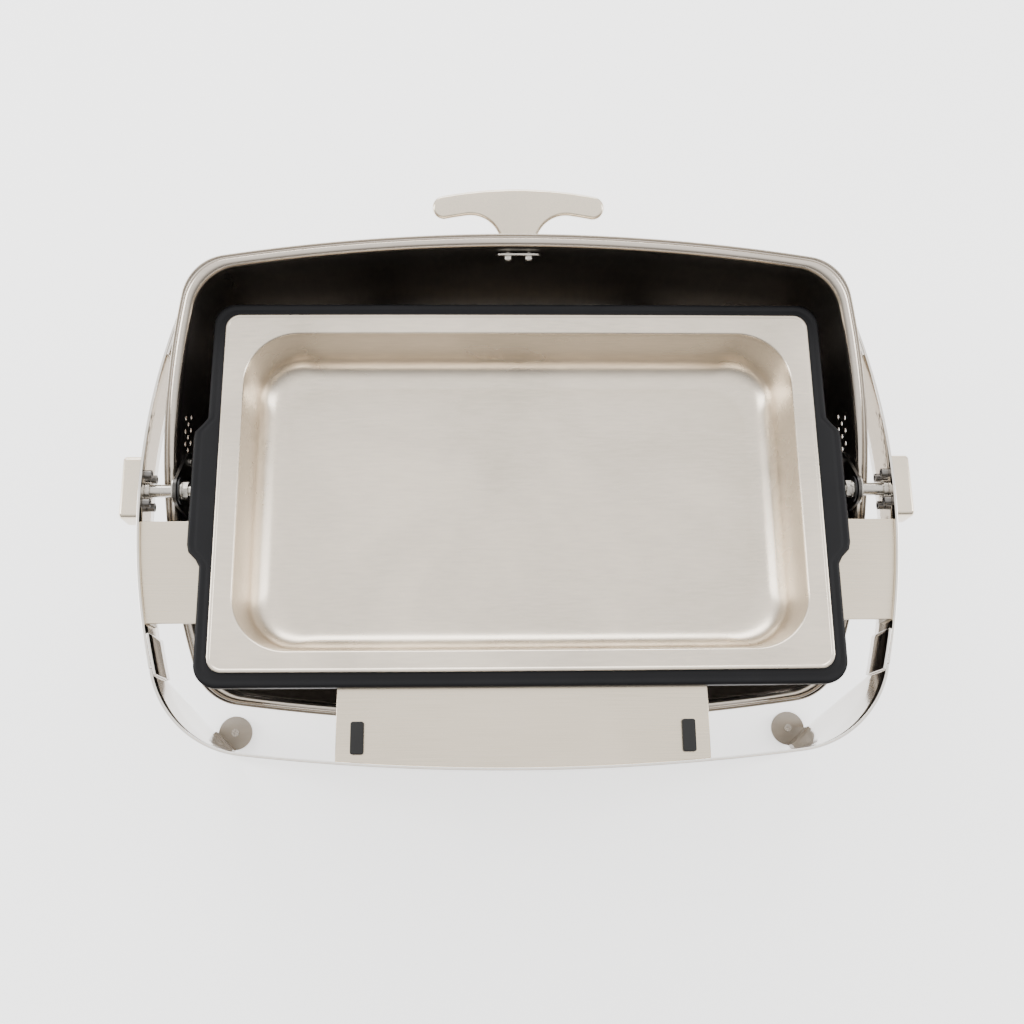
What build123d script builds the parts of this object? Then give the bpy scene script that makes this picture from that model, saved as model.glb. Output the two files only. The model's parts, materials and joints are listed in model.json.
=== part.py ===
"""Roll-top chafing dish: a band frame on four legs, a swinging lid and a nested pair of pans.

Millimetres, +Z up, +X to the right, -Y towards the user. Z = 0 is the table top under the feet.
The lid is drawn closed and then swung open about its pivot, which is how it rests.
"""
import os
from math import asin, degrees, pi, sqrt

from build123d import *

# ---- driving dimensions -------------------------------------------------------------------
FRAME_CENTRE_Y = 14.2        # middle of the whole open assembly, front band to handle tip
LID_OPEN_ANGLE = 158.0       # from closed to the open rest position

PAN_RIM_Z = 305.0            # top of the food pan flange
PAN_X, PAN_Y, PAN_DEPTH = 530.0, 325.0, 65.0
PAN_CORNER, PAN_SHEET = 13.0, 0.9
PAN_FLANGE = 16.0            # flat flange between the hem and the well
PAN_WELL_CORNER, PAN_DRAFT = 50.0, 13.0
PAN_HEM = 4.0                # height of the turned-down hem

WATER_X, WATER_Y = 554.0, 349.4
WATER_CORNER, WATER_RIM_T, WATER_SKIRT_T = 20.0, 3.0, 3.0
WATER_WELL_X, WATER_WELL_Y, WATER_WELL_CORNER = 506.0, 302.0, 52.0
WATER_DRAFT, WATER_SHEET, WATER_FLOOR_Z = 15.0, 1.2, 213.0
LOBE_X, LOBE_BACK, LOBE_FRONT, LOBE_SLOPE = 288.5, 50.0, -55.0, 15.0

PLATE_TOP_Z, PLATE_T = 290.0, 2.5        # the ledge, the side brackets and the cradle flange
CRADLE_X, CRADLE_Y = 276.0, 173.5        # half sizes of the cradle flange
CRADLE_LEG_X, CRADLE_LEG_Y = 262.0, 159.5
CRADLE_LEG_H = 15.0

BAND_T, BAND_TOP_Z, BAND_H = 2.5, 295.0, 45.0
BAND_HALF_X, BAND_HALF_Y = 332.5, 240.7  # inner face of the band
BAND_SIDE_R, BAND_END_R, BAND_CORNER_R = 600.0, 2000.0, 90.0
LAP_START_Y, LAP_END_Y, LAP_SLANT = 127.0, 157.0, 4.0
LAP_HOLD = 10.0                          # how far the tongue runs on behind the leg sheet
RIVET_R, RIVET_H = 3.2, 1.2

LEG_FOOT_X, LEG_FOOT_Y, LEG_FOOT_HALF = 311.0, 202.0, 24.0
LEG_FOOT_BOW = 0.8
FOOT_H, FOOT_R = 6.0, 14.0
BRACKET_T, BRACKET_W, BRACKET_H = 2.5, 27.0, 30.0
LEAF_R, SCREW_FROM_BEND = 18.0, 15.0

AXIS_Y, AXIS_Z = 3.0, 278.0
LID_HALF_X, LID_HALF_Y = 321.5, 224.5
LID_SIDE_R, LID_END_R, LID_CORNER_R = 700.0, 1800.0, 52.0
LID_RIM_ABOVE_AXIS = 16.5
LID_FLANGE, LID_SHEET, LID_LIP = 12.0, 1.0, 3.0
LID_HEIGHT = 174.0
LID_ROLL_POWER = 2.6          # front-to-back section, nearly round about the pivot
LID_END_POWER = 5.5           # side-to-side section, upright so that it clears the pans as it rolls
LID_LEVELS = (0.0, 0.22, 0.45, 0.65, 0.80, 0.90, 0.96)
VENT_R, VENT_PITCH, VENT_COLUMNS, VENT_ROWS, VENT_FIRST_ROW = 2.1, 12.0, 11, 3, 24.0

SHAFT_R, JOURNAL_R, RUNNING_GAP = 5.75, 5.0, 0.06
SHAFT_INNER_X = 292.0
EAR_X, EAR_T, EAR_NOSE_R, EAR_FOOT_HALF, EAR_FOOT_H = 303.0, 3.0, 14.0, 31.0, 33.0
BUSH_R = 6.5
WASHER_R, WASHER_T, DISC_R, DISC_T, FACE_GAP = 13.0, 1.4, 12.0, 1.5, 0.3
NUT_FLATS, NUT_L = 14.0, 6.5
COLLAR_R, COLLAR_L = 8.0, 4.0
BOSS_X, BOSS_Y, BOSS_Z, BOSS_ROUND = 16.0, 57.0, 30.0, 5.0
BOSS_SCREW_Y, BOSS_SCREW_Z, BOSS_SCREW_HEAD_R, BOSS_SCREW_HEAD_L = 13.0, 8.0, 3.9, 6.0
BOSS_SCREW_R, FIT_GAP = 2.5, 0.05

LEDGE_HALF_X, LEDGE_FLANGE_H = 157.0, 24.0
PAD_X, PAD_W, PAD_FRONT, PAD_BACK, PAD_H = 139.0, 11.0, -229.0, -202.0, 4.2
SIDE_BRACKET_BACK, SIDE_BRACKET_FRONT, SIDE_FLANGE_H = -28.0, -118.0, 25.0

HANDLE_H, HANDLE_T, HANDLE_CROWN_Y, HANDLE_BAR_W, HANDLE_BAR_L = 30.0, 9.0, 257.0, 20.0, 156.0
HANDLE_ARCH_R = 371.0
HANDLE_STEM_W, HANDLE_FILLET, HANDLE_EDGE_R = 31.0, 28.0, 3.0
HANDLE_PLATE_L, HANDLE_PLATE_W = 42.0, 16.0
HANDLE_STUD_X, HANDLE_STUD_R, HANDLE_STUD_L = 9.5, 2.5, 18.0
HANDLE_WALL_GAP, PLATE_WALL_GAP = 0.35, 0.9

FUEL_X, FUEL_CUP_R, FUEL_CUP_H, FUEL_CUP_T = 130.0, 43.0, 45.0, 1.0
STRAP_W, STRAP_T, STRAP_FLOOR_Z, STRAP_FLOOR_HALF = 26.0, 3.0, 128.0, 86.0
STRAP_KNEE_Z, STRAP_BEND_R = 206.0, 6.0
TRAY_R, TRAY_WALL, TRAY_H = 48.0, 2.0, 12.0
COVER_R, COVER_T, COVER_ARM, COVER_ASIDE = 34.0, 2.0, 56.0, 120.0
COVER_PIN_R = 3.0

# ---- sizes that follow from the ones above -------------------------------------------------
LID_RIM_Z = AXIS_Z + LID_RIM_ABOVE_AXIS
BAND_BOTTOM_Z = BAND_TOP_Z - BAND_H
STRAP_TOP_Z = PLATE_TOP_Z - PLATE_T
CUP_FLOOR_Z = STRAP_FLOOR_Z + STRAP_T + 0.3
COVER_Z = CUP_FLOOR_Z + FUEL_CUP_H + 2.0
SIDES = {"left": -1, "right": 1}
ENDS = {"front": -1, "rear": 1}


# ---- small helpers ---------------------------------------------------------------------------
def sag(radius, offset):
    """How far an arc of this radius falls away at an offset from its middle."""
    return radius - sqrt(radius * radius - offset * offset)


def bowed_rectangle(half_x, half_y, side_radius, end_radius, corner_radius):
    """A rectangle whose four sides are shallow arcs and whose corners are rounded."""
    x, y = half_x, half_y
    for _ in range(30):
        x = half_x - sag(side_radius, y)
        y = half_y - sag(end_radius, x)
    edges = [
        ThreePointArc((x, y), (0, half_y), (-x, y)),
        ThreePointArc((-x, y), (-half_x, 0), (-x, -y)),
        ThreePointArc((-x, -y), (0, -half_y), (x, -y)),
        ThreePointArc((x, -y), (half_x, 0), (x, y)),
    ]
    face = make_face(edges)
    return fillet(face.vertices(), corner_radius)


def prism(face, low, high):
    """A plan outline pulled up from one height to another."""
    return extrude(Pos(0, 0, low) * face, high - low)


def block(x0, x1, y0, y1, z0, z1):
    """A box between two corners."""
    middle = Pos((x0 + x1) / 2, (y0 + y1) / 2, (z0 + z1) / 2)
    return middle * Box(abs(x1 - x0), abs(y1 - y0), abs(z1 - z0))


def rod_x(x0, x1, y, z, radius):
    """A round bar along X."""
    return Pos((x0 + x1) / 2, y, z) * Rot(0, 90, 0) * Cylinder(radius, abs(x1 - x0))


def rod_y(y0, y1, x, z, radius):
    """A round bar along Y."""
    return Pos(x, (y0 + y1) / 2, z) * Rot(90, 0, 0) * Cylinder(radius, abs(y1 - y0))


def rod_z(z0, z1, x, y, radius):
    """A round bar along Z."""
    return Pos(x, y, (z0 + z1) / 2) * Cylinder(radius, z1 - z0)


def flip_x(shape, side):
    """The same piece for the other side of the dish."""
    return shape if side > 0 else mirror(shape, about=Plane.YZ)


def flip_y(shape, end):
    """The same piece for the back of the dish."""
    return shape if end < 0 else mirror(shape, about=Plane.XZ)


def group(solids):
    """Several separate solids kept together as one node."""
    return Compound(children=[s for s in solids])


# ---- frame -------------------------------------------------------------------------------------
def band_outline(offset):
    """The plan curve of the band, moved out from its inner face."""
    return bowed_rectangle(BAND_HALF_X + offset, BAND_HALF_Y + offset, BAND_SIDE_R + offset,
                           BAND_END_R + offset, BAND_CORNER_R + offset)


def band_strip(inner, outer, low, high):
    """A closed strip of the band between two offsets and two heights."""
    return prism(band_outline(outer) - band_outline(inner), low, high)


def slanted_keep(y_top, y_far, far_slant):
    """A slab along X whose ends are cut on a slant, to trim the band where two sheets lap."""
    top, low = BAND_TOP_Z + 1, BAND_BOTTOM_Z - 1
    side = Polyline((y_top, top), (y_far, top), (y_far - far_slant, low), (y_top - LAP_SLANT, low), close=True)
    return extrude(Plane.YZ * make_face(side), 400, both=True)


def side_rail(side):
    """The upright strip beside the pan that carries the pivot, with slanted ends."""
    half = slanted_keep(-LAP_END_Y, 0, 0)
    keep = half + mirror(half, about=Plane.XZ)
    strip = band_strip(0, BAND_T, BAND_BOTTOM_Z, BAND_TOP_Z)
    rail = strip & keep & block(0, 400, -300, 300, 0, 400)
    rail -= rod_x(320, 350, AXIS_Y, AXIS_Z, JOURNAL_R + 0.2)
    for y, z in boss_screw_places():
        rail -= rod_x(320, 350, y, z, BOSS_SCREW_R + 0.2)
    return flip_x(rail, side)


def strip_section(start, middle, end, thickness, height):
    """A curved strip seen from above: an arc through three points, thickened outwards."""
    (ax, ay), (bx, by), (cx, cy) = start, middle, end
    d = 2 * (ax * (by - cy) + bx * (cy - ay) + cx * (ay - by))
    a2, b2, c2 = ax * ax + ay * ay, bx * bx + by * by, cx * cx + cy * cy
    ux = (a2 * (by - cy) + b2 * (cy - ay) + c2 * (ay - by)) / d
    uy = (a2 * (cx - bx) + b2 * (ax - cx) + c2 * (bx - ax)) / d
    radius = sqrt((ax - ux) ** 2 + (ay - uy) ** 2)
    grow = (radius + thickness) / radius
    outer = [(ux + (px - ux) * grow, uy + (py - uy) * grow) for px, py in (start, middle, end)]
    edges = [
        ThreePointArc(start, middle, end),
        Line(end, outer[2]),
        ThreePointArc(outer[2], outer[1], outer[0]),
        Line(outer[0], start),
    ]
    return Pos(0, 0, height) * make_face(edges)


def corner_arc():
    """Start, middle and end of the front right corner of the band's inner face."""
    for edge in band_outline(0).edges():
        middle = edge @ 0.5
        if middle.X > 200 and middle.Y < -150 and edge.length < 150:
            first, last = edge @ 0, edge @ 1
            if first.Y < last.Y:
                first, last = last, first
            return (first.X, first.Y), (middle.X, middle.Y), (last.X, last.Y)


def foot_arc():
    """Start, middle and end of the leg's inner face where it meets the foot."""
    c = LEG_FOOT_HALF / sqrt(2)
    bow = LEG_FOOT_BOW / sqrt(2)
    start = (LEG_FOOT_X + c, -LEG_FOOT_Y + c)
    end = (LEG_FOOT_X - c, -LEG_FOOT_Y - c)
    return start, (LEG_FOOT_X + bow, -LEG_FOOT_Y - bow), end


def leg():
    """The front right leg: the corner of the band drawn down to a narrow foot."""
    top = strip_section(*corner_arc(), BAND_T, BAND_BOTTOM_Z)
    bottom = strip_section(*foot_arc(), BAND_T, FOOT_H)
    return loft([bottom, top], ruled=True)


def end_frame(end):
    """The front or rear sheet: the band round two corners, its lap tongues and its two legs."""
    far = 300
    hoop = band_strip(0, BAND_T, BAND_BOTTOM_Z, BAND_TOP_Z)
    keep = slanted_keep(-LAP_END_Y - 0.2, -far, 0)
    hoop = hoop & keep
    tongue = band_strip(-BAND_T, 0, BAND_BOTTOM_Z, BAND_TOP_Z)
    tongue = tongue & slanted_keep(-LAP_START_Y, -LAP_END_Y - LAP_HOLD, LAP_SLANT)
    sheet = hoop + tongue + leg() + mirror(leg(), about=Plane.YZ)
    return flip_y(sheet, end)


def lap_rivets():
    """Two flush rivets through each lap of the band, eight laps' worth as one group."""
    heads = []
    middle = (LAP_START_Y + LAP_END_Y) / 2
    x = BAND_HALF_X - sag(BAND_SIDE_R, middle)
    lean = 180 / pi * middle / BAND_SIDE_R
    for side in SIDES.values():
        for end in ENDS.values():
            for z in (BAND_BOTTOM_Z + 12, BAND_TOP_Z - 12):
                head = Pos(BAND_T + RIVET_H / 2, 0, 0) * Rot(0, 90, 0) * Cylinder(RIVET_R, RIVET_H)
                head = Pos(x, -middle, z) * Rot(0, 0, -lean) * head
                heads.append(flip_y(flip_x(head, side), end))
    return group(heads)


def foot_direction():
    """The way the leg leans as it rises, from the foot to the band."""
    top = corner_arc()[1]
    return Vector(top[0] - LEG_FOOT_X, top[1] + LEG_FOOT_Y, BAND_BOTTOM_Z - FOOT_H).normalized()


def foot_centre():
    """Plan position of the foot screw, inside the bend of the front right bracket."""
    step = SCREW_FROM_BEND / sqrt(2)
    return LEG_FOOT_X - step, -LEG_FOOT_Y + step


def foot_bracket(side, end):
    """An angle bracket: an upright riveted inside the leg and a rounded leaf over the foot."""
    x, y = foot_centre()
    leaf = Pos(x, y) * Circle(LEAF_R)
    bend = Pos(LEG_FOOT_X, -LEG_FOOT_Y) * Rot(0, 0, 45)
    leaf += bend * Pos(0, SCREW_FROM_BEND / 2) * Rectangle(BRACKET_W, SCREW_FROM_BEND)
    leaf -= bend * Pos(0, -LEAF_R) * Rectangle(2 * LEAF_R + 4, 2 * LEAF_R)
    plate = prism(leaf, FOOT_H, FOOT_H + BRACKET_T)
    plate -= rod_z(0, 20, x, y, 2.2)
    strip = bend * Pos(0, BRACKET_T / 2) * Rectangle(BRACKET_W, BRACKET_T)
    upright = extrude(Pos(0, 0, FOOT_H) * strip, BRACKET_H, dir=foot_direction())
    return flip_y(flip_x(plate + upright, side), end)


def rubber_foot(side, end):
    """A turned rubber foot with a softened edge and a recess for the screw."""
    x, y = foot_centre()
    foot = rod_z(0, FOOT_H, x, y, FOOT_R)
    foot = chamfer(foot.edges().group_by(Axis.Z)[0], 1.2)
    foot -= rod_z(1.5, FOOT_H, x, y, 2.2)
    return flip_y(flip_x(foot, side), end)


def foot_screws():
    """Four cross-head screws that hold the feet to their brackets."""
    screws = []
    x, y = foot_centre()
    top = FOOT_H + BRACKET_T
    for side in SIDES.values():
        for end in ENDS.values():
            screw = rod_z(2, top, x, y, 2.0) + rod_z(top, top + 1.8, x, y, 4.0)
            slot = Pos(x, y, top + 1.4) * (Box(4.6, 0.9, 1.2) + Box(0.9, 4.6, 1.2))
            screws.append(flip_y(flip_x(screw - slot, side), end))
    return group(screws)


def pan_cradle():
    """An angle-section ring that carries the rim of the water pan."""
    flange = RectangleRounded(2 * CRADLE_X, 2 * CRADLE_Y, WATER_CORNER)
    hole = RectangleRounded(2 * (CRADLE_LEG_X - PLATE_T), 2 * (CRADLE_LEG_Y - PLATE_T), WATER_CORNER)
    leg_out = RectangleRounded(2 * CRADLE_LEG_X, 2 * CRADLE_LEG_Y, WATER_CORNER)
    ring = prism(flange - hole, PLATE_TOP_Z - PLATE_T, PLATE_TOP_Z)
    ring += prism(leg_out - hole, PLATE_TOP_Z - CRADLE_LEG_H, PLATE_TOP_Z - PLATE_T)
    return ring


def front_ledge():
    """The ledge the closed lid lands on, from the cradle to the front band, with a turned-down edge."""
    low = PLATE_TOP_Z - PLATE_T
    inside = prism(band_outline(0), low, PLATE_TOP_Z)
    plate = inside & block(-LEDGE_HALF_X, LEDGE_HALF_X, -260, -CRADLE_Y, low, PLATE_TOP_Z)
    edge = band_strip(-PLATE_T, 0, PLATE_TOP_Z - LEDGE_FLANGE_H, low)
    edge = edge & block(-LEDGE_HALF_X, LEDGE_HALF_X, -260, -CRADLE_Y, 0, 400)
    return plate + edge


def ledge_pad(side):
    """A rubber pad in the ledge that the lid's rim closes on."""
    pad = block(PAD_X - PAD_W / 2, PAD_X + PAD_W / 2, PAD_FRONT, PAD_BACK, PLATE_TOP_Z, PLATE_TOP_Z + PAD_H)
    pad = fillet(pad.edges().filter_by(Axis.Z), 2.0)
    pad = fillet(pad.faces().sort_by(Axis.Z)[-1].edges(), 1.0)
    return flip_x(pad, side)


def side_bracket(side):
    """A flat arm from the side rail to the cradle, turned down where it meets the rail."""
    low = PLATE_TOP_Z - PLATE_T
    reach = block(CRADLE_X, 400, SIDE_BRACKET_FRONT, SIDE_BRACKET_BACK, 0, 400)
    plate = prism(band_outline(0), low, PLATE_TOP_Z) & reach
    edge = band_strip(-PLATE_T, 0, PLATE_TOP_Z - SIDE_FLANGE_H, low) & reach
    return flip_x(plate + edge, side)


# ---- pivot ---------------------------------------------------------------------------------------
def boss_screw_places():
    """Y and Z of the four screws around the shaft."""
    return [(AXIS_Y + i * BOSS_SCREW_Y, AXIS_Z + j * BOSS_SCREW_Z) for i in (-1, 1) for j in (-1, 1)]


def pivot_boss(side):
    """The rounded block outside the rail that the shaft is fixed in."""
    x0 = BAND_HALF_X + BAND_T
    boss = block(x0, x0 + BOSS_X, AXIS_Y - BOSS_Y / 2, AXIS_Y + BOSS_Y / 2,
                 AXIS_Z - BOSS_Z / 2, AXIS_Z + BOSS_Z / 2)
    boss = fillet(boss.edges().filter_by(Axis.X), BOSS_ROUND)
    boss = fillet(boss.faces().sort_by(Axis.X)[-1].edges(), 3.0)
    boss -= rod_x(x0, x0 + 11, AXIS_Y, AXIS_Z, JOURNAL_R)
    for y, z in boss_screw_places():
        boss -= rod_x(x0, x0 + 9, y, z, BOSS_SCREW_R + FIT_GAP)
    rail = band_strip(-1, BAND_T, 0, 400)
    return flip_x(boss - rail, side)


def boss_screws(side):
    """Four socket-head screws, heads on the inner face of the rail."""
    screws = []
    face = BAND_HALF_X - sag(BAND_SIDE_R, BOSS_SCREW_Y + AXIS_Y + BOSS_SCREW_HEAD_R)
    for y, z in boss_screw_places():
        screw = rod_x(face, BAND_HALF_X + BAND_T + 8, y, z, BOSS_SCREW_R)
        screw += rod_x(face - BOSS_SCREW_HEAD_L, face, y, z, BOSS_SCREW_HEAD_R)
        socket = RegularPolygon(2.1, 6)
        tool = Pos(face - BOSS_SCREW_HEAD_L, y, z) * Rot(0, 90, 0) * extrude(socket, 2.5)
        screws.append(flip_x(screw - tool, side))
    return group(screws)


def pivot_shaft(side):
    """A stepped shaft from the boss to the end nut."""
    step = EAR_X + EAR_T + FACE_GAP + WASHER_T
    shaft = rod_x(step, BAND_HALF_X - 0.2, AXIS_Y, AXIS_Z, SHAFT_R)
    shaft += rod_x(SHAFT_INNER_X, BAND_HALF_X + BAND_T + 10.5, AXIS_Y, AXIS_Z, JOURNAL_R - RUNNING_GAP)
    return flip_x(shaft, side)


def shaft_collar(side):
    """A plain collar on the shaft against the rail."""
    face = BAND_HALF_X - 0.2
    collar = rod_x(face - COLLAR_L, face, AXIS_Y, AXIS_Z, COLLAR_R)
    collar -= rod_x(face - COLLAR_L, face, AXIS_Y, AXIS_Z, SHAFT_R + FIT_GAP)
    return flip_x(collar, side)


def ring_x(x0, x1, radius, bore):
    """A washer around the pivot axis."""
    return rod_x(x0, x1, AXIS_Y, AXIS_Z, radius) - rod_x(x0, x1, AXIS_Y, AXIS_Z, bore)


def pivot_washers():
    """The large washer outside each lid ear."""
    x0 = EAR_X + EAR_T + FACE_GAP
    washer = ring_x(x0, x0 + WASHER_T, WASHER_R, JOURNAL_R)
    return group([flip_x(washer, side) for side in SIDES.values()])


def friction_disc(side):
    """The black disc that presses on the lid ear and holds the lid where it is left."""
    x1 = EAR_X - FACE_GAP
    return flip_x(ring_x(x1 - DISC_T, x1, DISC_R, JOURNAL_R), side)


def end_nut(side):
    """A hexagon nut with a washer face on the end of the shaft."""
    x1 = EAR_X - FACE_GAP - DISC_T
    hexagon = RegularPolygon(NUT_FLATS / 2, 6, major_radius=False)
    nut = Pos(x1 - NUT_L, AXIS_Y, AXIS_Z) * Rot(0, 90, 0) * extrude(hexagon, NUT_L - 1.2)
    nut += rod_x(x1 - 1.2, x1, AXIS_Y, AXIS_Z, NUT_FLATS / 2 + 1)
    return flip_x(nut - rod_x(x1 - NUT_L, x1, AXIS_Y, AXIS_Z, JOURNAL_R), side)


# ---- lid, drawn closed -----------------------------------------------------------------------------
def lid_outline(inset_x, inset_y):
    """The lid's plan outline, drawn in from the rim; the corners grow rounder towards the top."""
    corner = LID_CORNER_R - LID_FLANGE * 0.5 + 0.1 * inset_y
    return bowed_rectangle(LID_HALF_X - inset_x, LID_HALF_Y - inset_y, LID_SIDE_R, LID_END_R, corner)


def lid_inset(fraction, power):
    """How far a wall has come in at a fraction of the lid's height."""
    span = LID_HALF_Y - LID_FLANGE
    return LID_FLANGE + span * (1 - (1 - fraction ** power) ** (1 / power))


def lid_body(sheet):
    """The domed body of the lid, taken in by one sheet thickness for its inside."""
    height = LID_HEIGHT - sheet
    sections = []
    for fraction in LID_LEVELS:
        inset_x = lid_inset(fraction, LID_END_POWER) + sheet
        inset_y = lid_inset(fraction, LID_ROLL_POWER) + sheet
        section = lid_outline(inset_x, inset_y)
        sections.append(Pos(0, 0, LID_RIM_Z + height * fraction) * section)
    return loft(sections)


def lid_wall_x(height):
    """X of the lid's outer side wall at a height above the rim."""
    return LID_HALF_X - lid_inset(height / LID_HEIGHT, LID_END_POWER)


def lid_wall_y(height):
    """Y of the lid's outer front wall at a height above the rim."""
    return LID_HALF_Y - lid_inset(height / LID_HEIGHT, LID_ROLL_POWER)


def vent_tools():
    """Staggered rows of round vents through both side walls."""
    tools = []
    for row in range(VENT_ROWS):
        z = LID_RIM_Z + VENT_FIRST_ROW + row * VENT_PITCH * 0.8
        shift = VENT_PITCH / 2 if row % 2 else 0
        for column in range(VENT_COLUMNS):
            y = (column - (VENT_COLUMNS - 1) / 2) * VENT_PITCH + shift
            tools.append(rod_x(-340, 340, y, z, VENT_R))
    return tools


def lid_shell():
    """The drawn lid: dome, rolled-out flange and a thin turned lip."""
    shell = lid_body(0) - lid_body(LID_SHEET)
    flange_inner = LID_FLANGE + LID_SHEET
    ring = lid_outline(0, 0) - lid_outline(flange_inner, flange_inner)
    shell += prism(ring, LID_RIM_Z + LID_LIP - LID_SHEET, LID_RIM_Z + LID_LIP)
    lip = lid_outline(0, 0) - lid_outline(LID_SHEET, LID_SHEET)
    shell += prism(lip, LID_RIM_Z, LID_RIM_Z + LID_LIP)
    for tool in vent_tools():
        shell -= tool
    for x in (-HANDLE_STUD_X, HANDLE_STUD_X):
        shell -= rod_y(-LID_HALF_Y, -LID_HALF_Y + 30, x, LID_RIM_Z + HANDLE_H, HANDLE_STUD_R + 0.2)
    return shell


def pivot_ear(side):
    """A flared plate inside the side wall whose nose reaches down to the pivot."""
    foot_z = AXIS_Z + EAR_FOOT_H
    outline = make_hull([
        CenterArc((AXIS_Y, AXIS_Z), EAR_NOSE_R, 0, 360),
        Line((AXIS_Y - EAR_FOOT_HALF, foot_z), (AXIS_Y + EAR_FOOT_HALF, foot_z)),
    ])
    pad = Polyline((AXIS_Y - EAR_FOOT_HALF, foot_z), (AXIS_Y + EAR_FOOT_HALF, foot_z),
                   (AXIS_Y + EAR_FOOT_HALF, foot_z + 14), (AXIS_Y - EAR_FOOT_HALF, foot_z + 14), close=True)
    ear = extrude(Plane.YZ * (outline + make_face(pad)), EAR_T)
    ear = Pos(EAR_X, 0, 0) * ear
    ear -= rod_x(EAR_X - 1, EAR_X + EAR_T + 1, AXIS_Y, AXIS_Z, BUSH_R)
    return flip_x(ear, side)


def ear_bush(side):
    """The bearing bush pressed into the ear; it runs on the shaft."""
    return flip_x(ring_x(EAR_X, EAR_X + EAR_T, BUSH_R, JOURNAL_R), side)


def ear_rivets():
    """Three rivets from each ear into the side wall."""
    rivets = []
    z = AXIS_Z + EAR_FOOT_H + 7
    wall = lid_wall_x(z - LID_RIM_Z) - LID_SHEET
    for y in (-22, 0, 22):
        end = wall - sag(LID_SIDE_R, abs(AXIS_Y + y)) - 0.3
        rivet = rod_x(EAR_X - 1.6, EAR_X, AXIS_Y + y, z, 4.0) + rod_x(EAR_X + EAR_T, end, AXIS_Y + y, z, 3.0)
        rivets += [flip_x(piece, side) for side in SIDES.values() for piece in rivet.solids()]
    return group(rivets)


def lid_handle():
    """A T-shaped grip that stands out from the front wall; its bar arches gently away from the lid."""
    wall = lid_wall_y(HANDLE_H) + HANDLE_WALL_GAP
    half_span = degrees(asin((HANDLE_BAR_L - HANDLE_BAR_W) / 2 / HANDLE_ARCH_R))
    arch = CenterArc((0, HANDLE_ARCH_R - HANDLE_CROWN_Y), HANDLE_ARCH_R, 270 - half_span, 2 * half_span)
    bar = SlotArc(arch, HANDLE_BAR_W)
    stem_top = HANDLE_CROWN_Y - HANDLE_BAR_W / 2 + 4
    stem = Pos(0, -(wall + stem_top) / 2) * Rectangle(HANDLE_STEM_W, stem_top - wall)
    shape = bar + stem
    inner = [v for v in shape.vertices() if abs(abs(v.X) - HANDLE_STEM_W / 2) < 0.1 and v.Y < -wall - 1]
    shape = fillet(inner, HANDLE_FILLET)
    middle = LID_RIM_Z + HANDLE_H
    grip = prism(shape, middle - HANDLE_T / 2, middle + HANDLE_T / 2)
    rims = grip.faces().filter_by(Axis.Z).edges()
    grip = fillet([e for e in rims if e.center().Y < -wall - 2], HANDLE_EDGE_R)
    for x in (-HANDLE_STUD_X, HANDLE_STUD_X):
        grip -= rod_y(-wall - HANDLE_STUD_L + 5, -wall + 5, x, middle, HANDLE_STUD_R)
    return grip


def handle_backing_plate():
    """The oval plate inside the lid behind the handle."""
    face = lid_wall_y(HANDLE_H) - LID_SHEET - PLATE_WALL_GAP
    oval = Plane.XZ * SlotOverall(HANDLE_PLATE_L, HANDLE_PLATE_W)
    plate = Pos(0, -face + 2, LID_RIM_Z + HANDLE_H) * extrude(oval, 2)
    for x in (-HANDLE_STUD_X, HANDLE_STUD_X):
        plate -= rod_y(-face - 1, -face + 3, x, LID_RIM_Z + HANDLE_H, HANDLE_STUD_R)
    return plate


def handle_studs():
    """Two studs through the wall into the handle."""
    studs = []
    inner = -(lid_wall_y(HANDLE_H) - LID_SHEET - PLATE_WALL_GAP) + 2
    for x in (-HANDLE_STUD_X, HANDLE_STUD_X):
        studs.append(rod_y(-lid_wall_y(HANDLE_H) - 12.5, inner, x, LID_RIM_Z + HANDLE_H, HANDLE_STUD_R))
    return group(studs)


def handle_nuts():
    """Two domed nuts over the backing plate."""
    nuts = []
    inner = -(lid_wall_y(HANDLE_H) - LID_SHEET - PLATE_WALL_GAP) + 2
    for x in (-HANDLE_STUD_X, HANDLE_STUD_X):
        nut = rod_y(inner, inner + 5, x, LID_RIM_Z + HANDLE_H, 3.8)
        nuts.append(fillet(nut.edges().sort_by(Axis.Y)[-1], 2.4))
    return group(nuts)


def opened(shape):
    """A lid piece swung from closed to its open rest position."""
    pivot = Pos(0, AXIS_Y, AXIS_Z)
    return pivot * Rot(-LID_OPEN_ANGLE, 0, 0) * Pos(0, -AXIS_Y, -AXIS_Z) * shape


# ---- pans ----------------------------------------------------------------------------------------
def basin(x, y, corner, draft, top, floor, rounding):
    """A drafted tub with rounded corners and a rounded floor edge."""
    mouth = Pos(0, 0, top) * RectangleRounded(x, y, corner)
    base = Pos(0, 0, floor) * RectangleRounded(x - 2 * draft, y - 2 * draft, corner - draft * 0.4)
    tub = loft([base, mouth], ruled=True)
    return fillet(tub.faces().sort_by(Axis.Z)[0].edges(), rounding)


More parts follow.
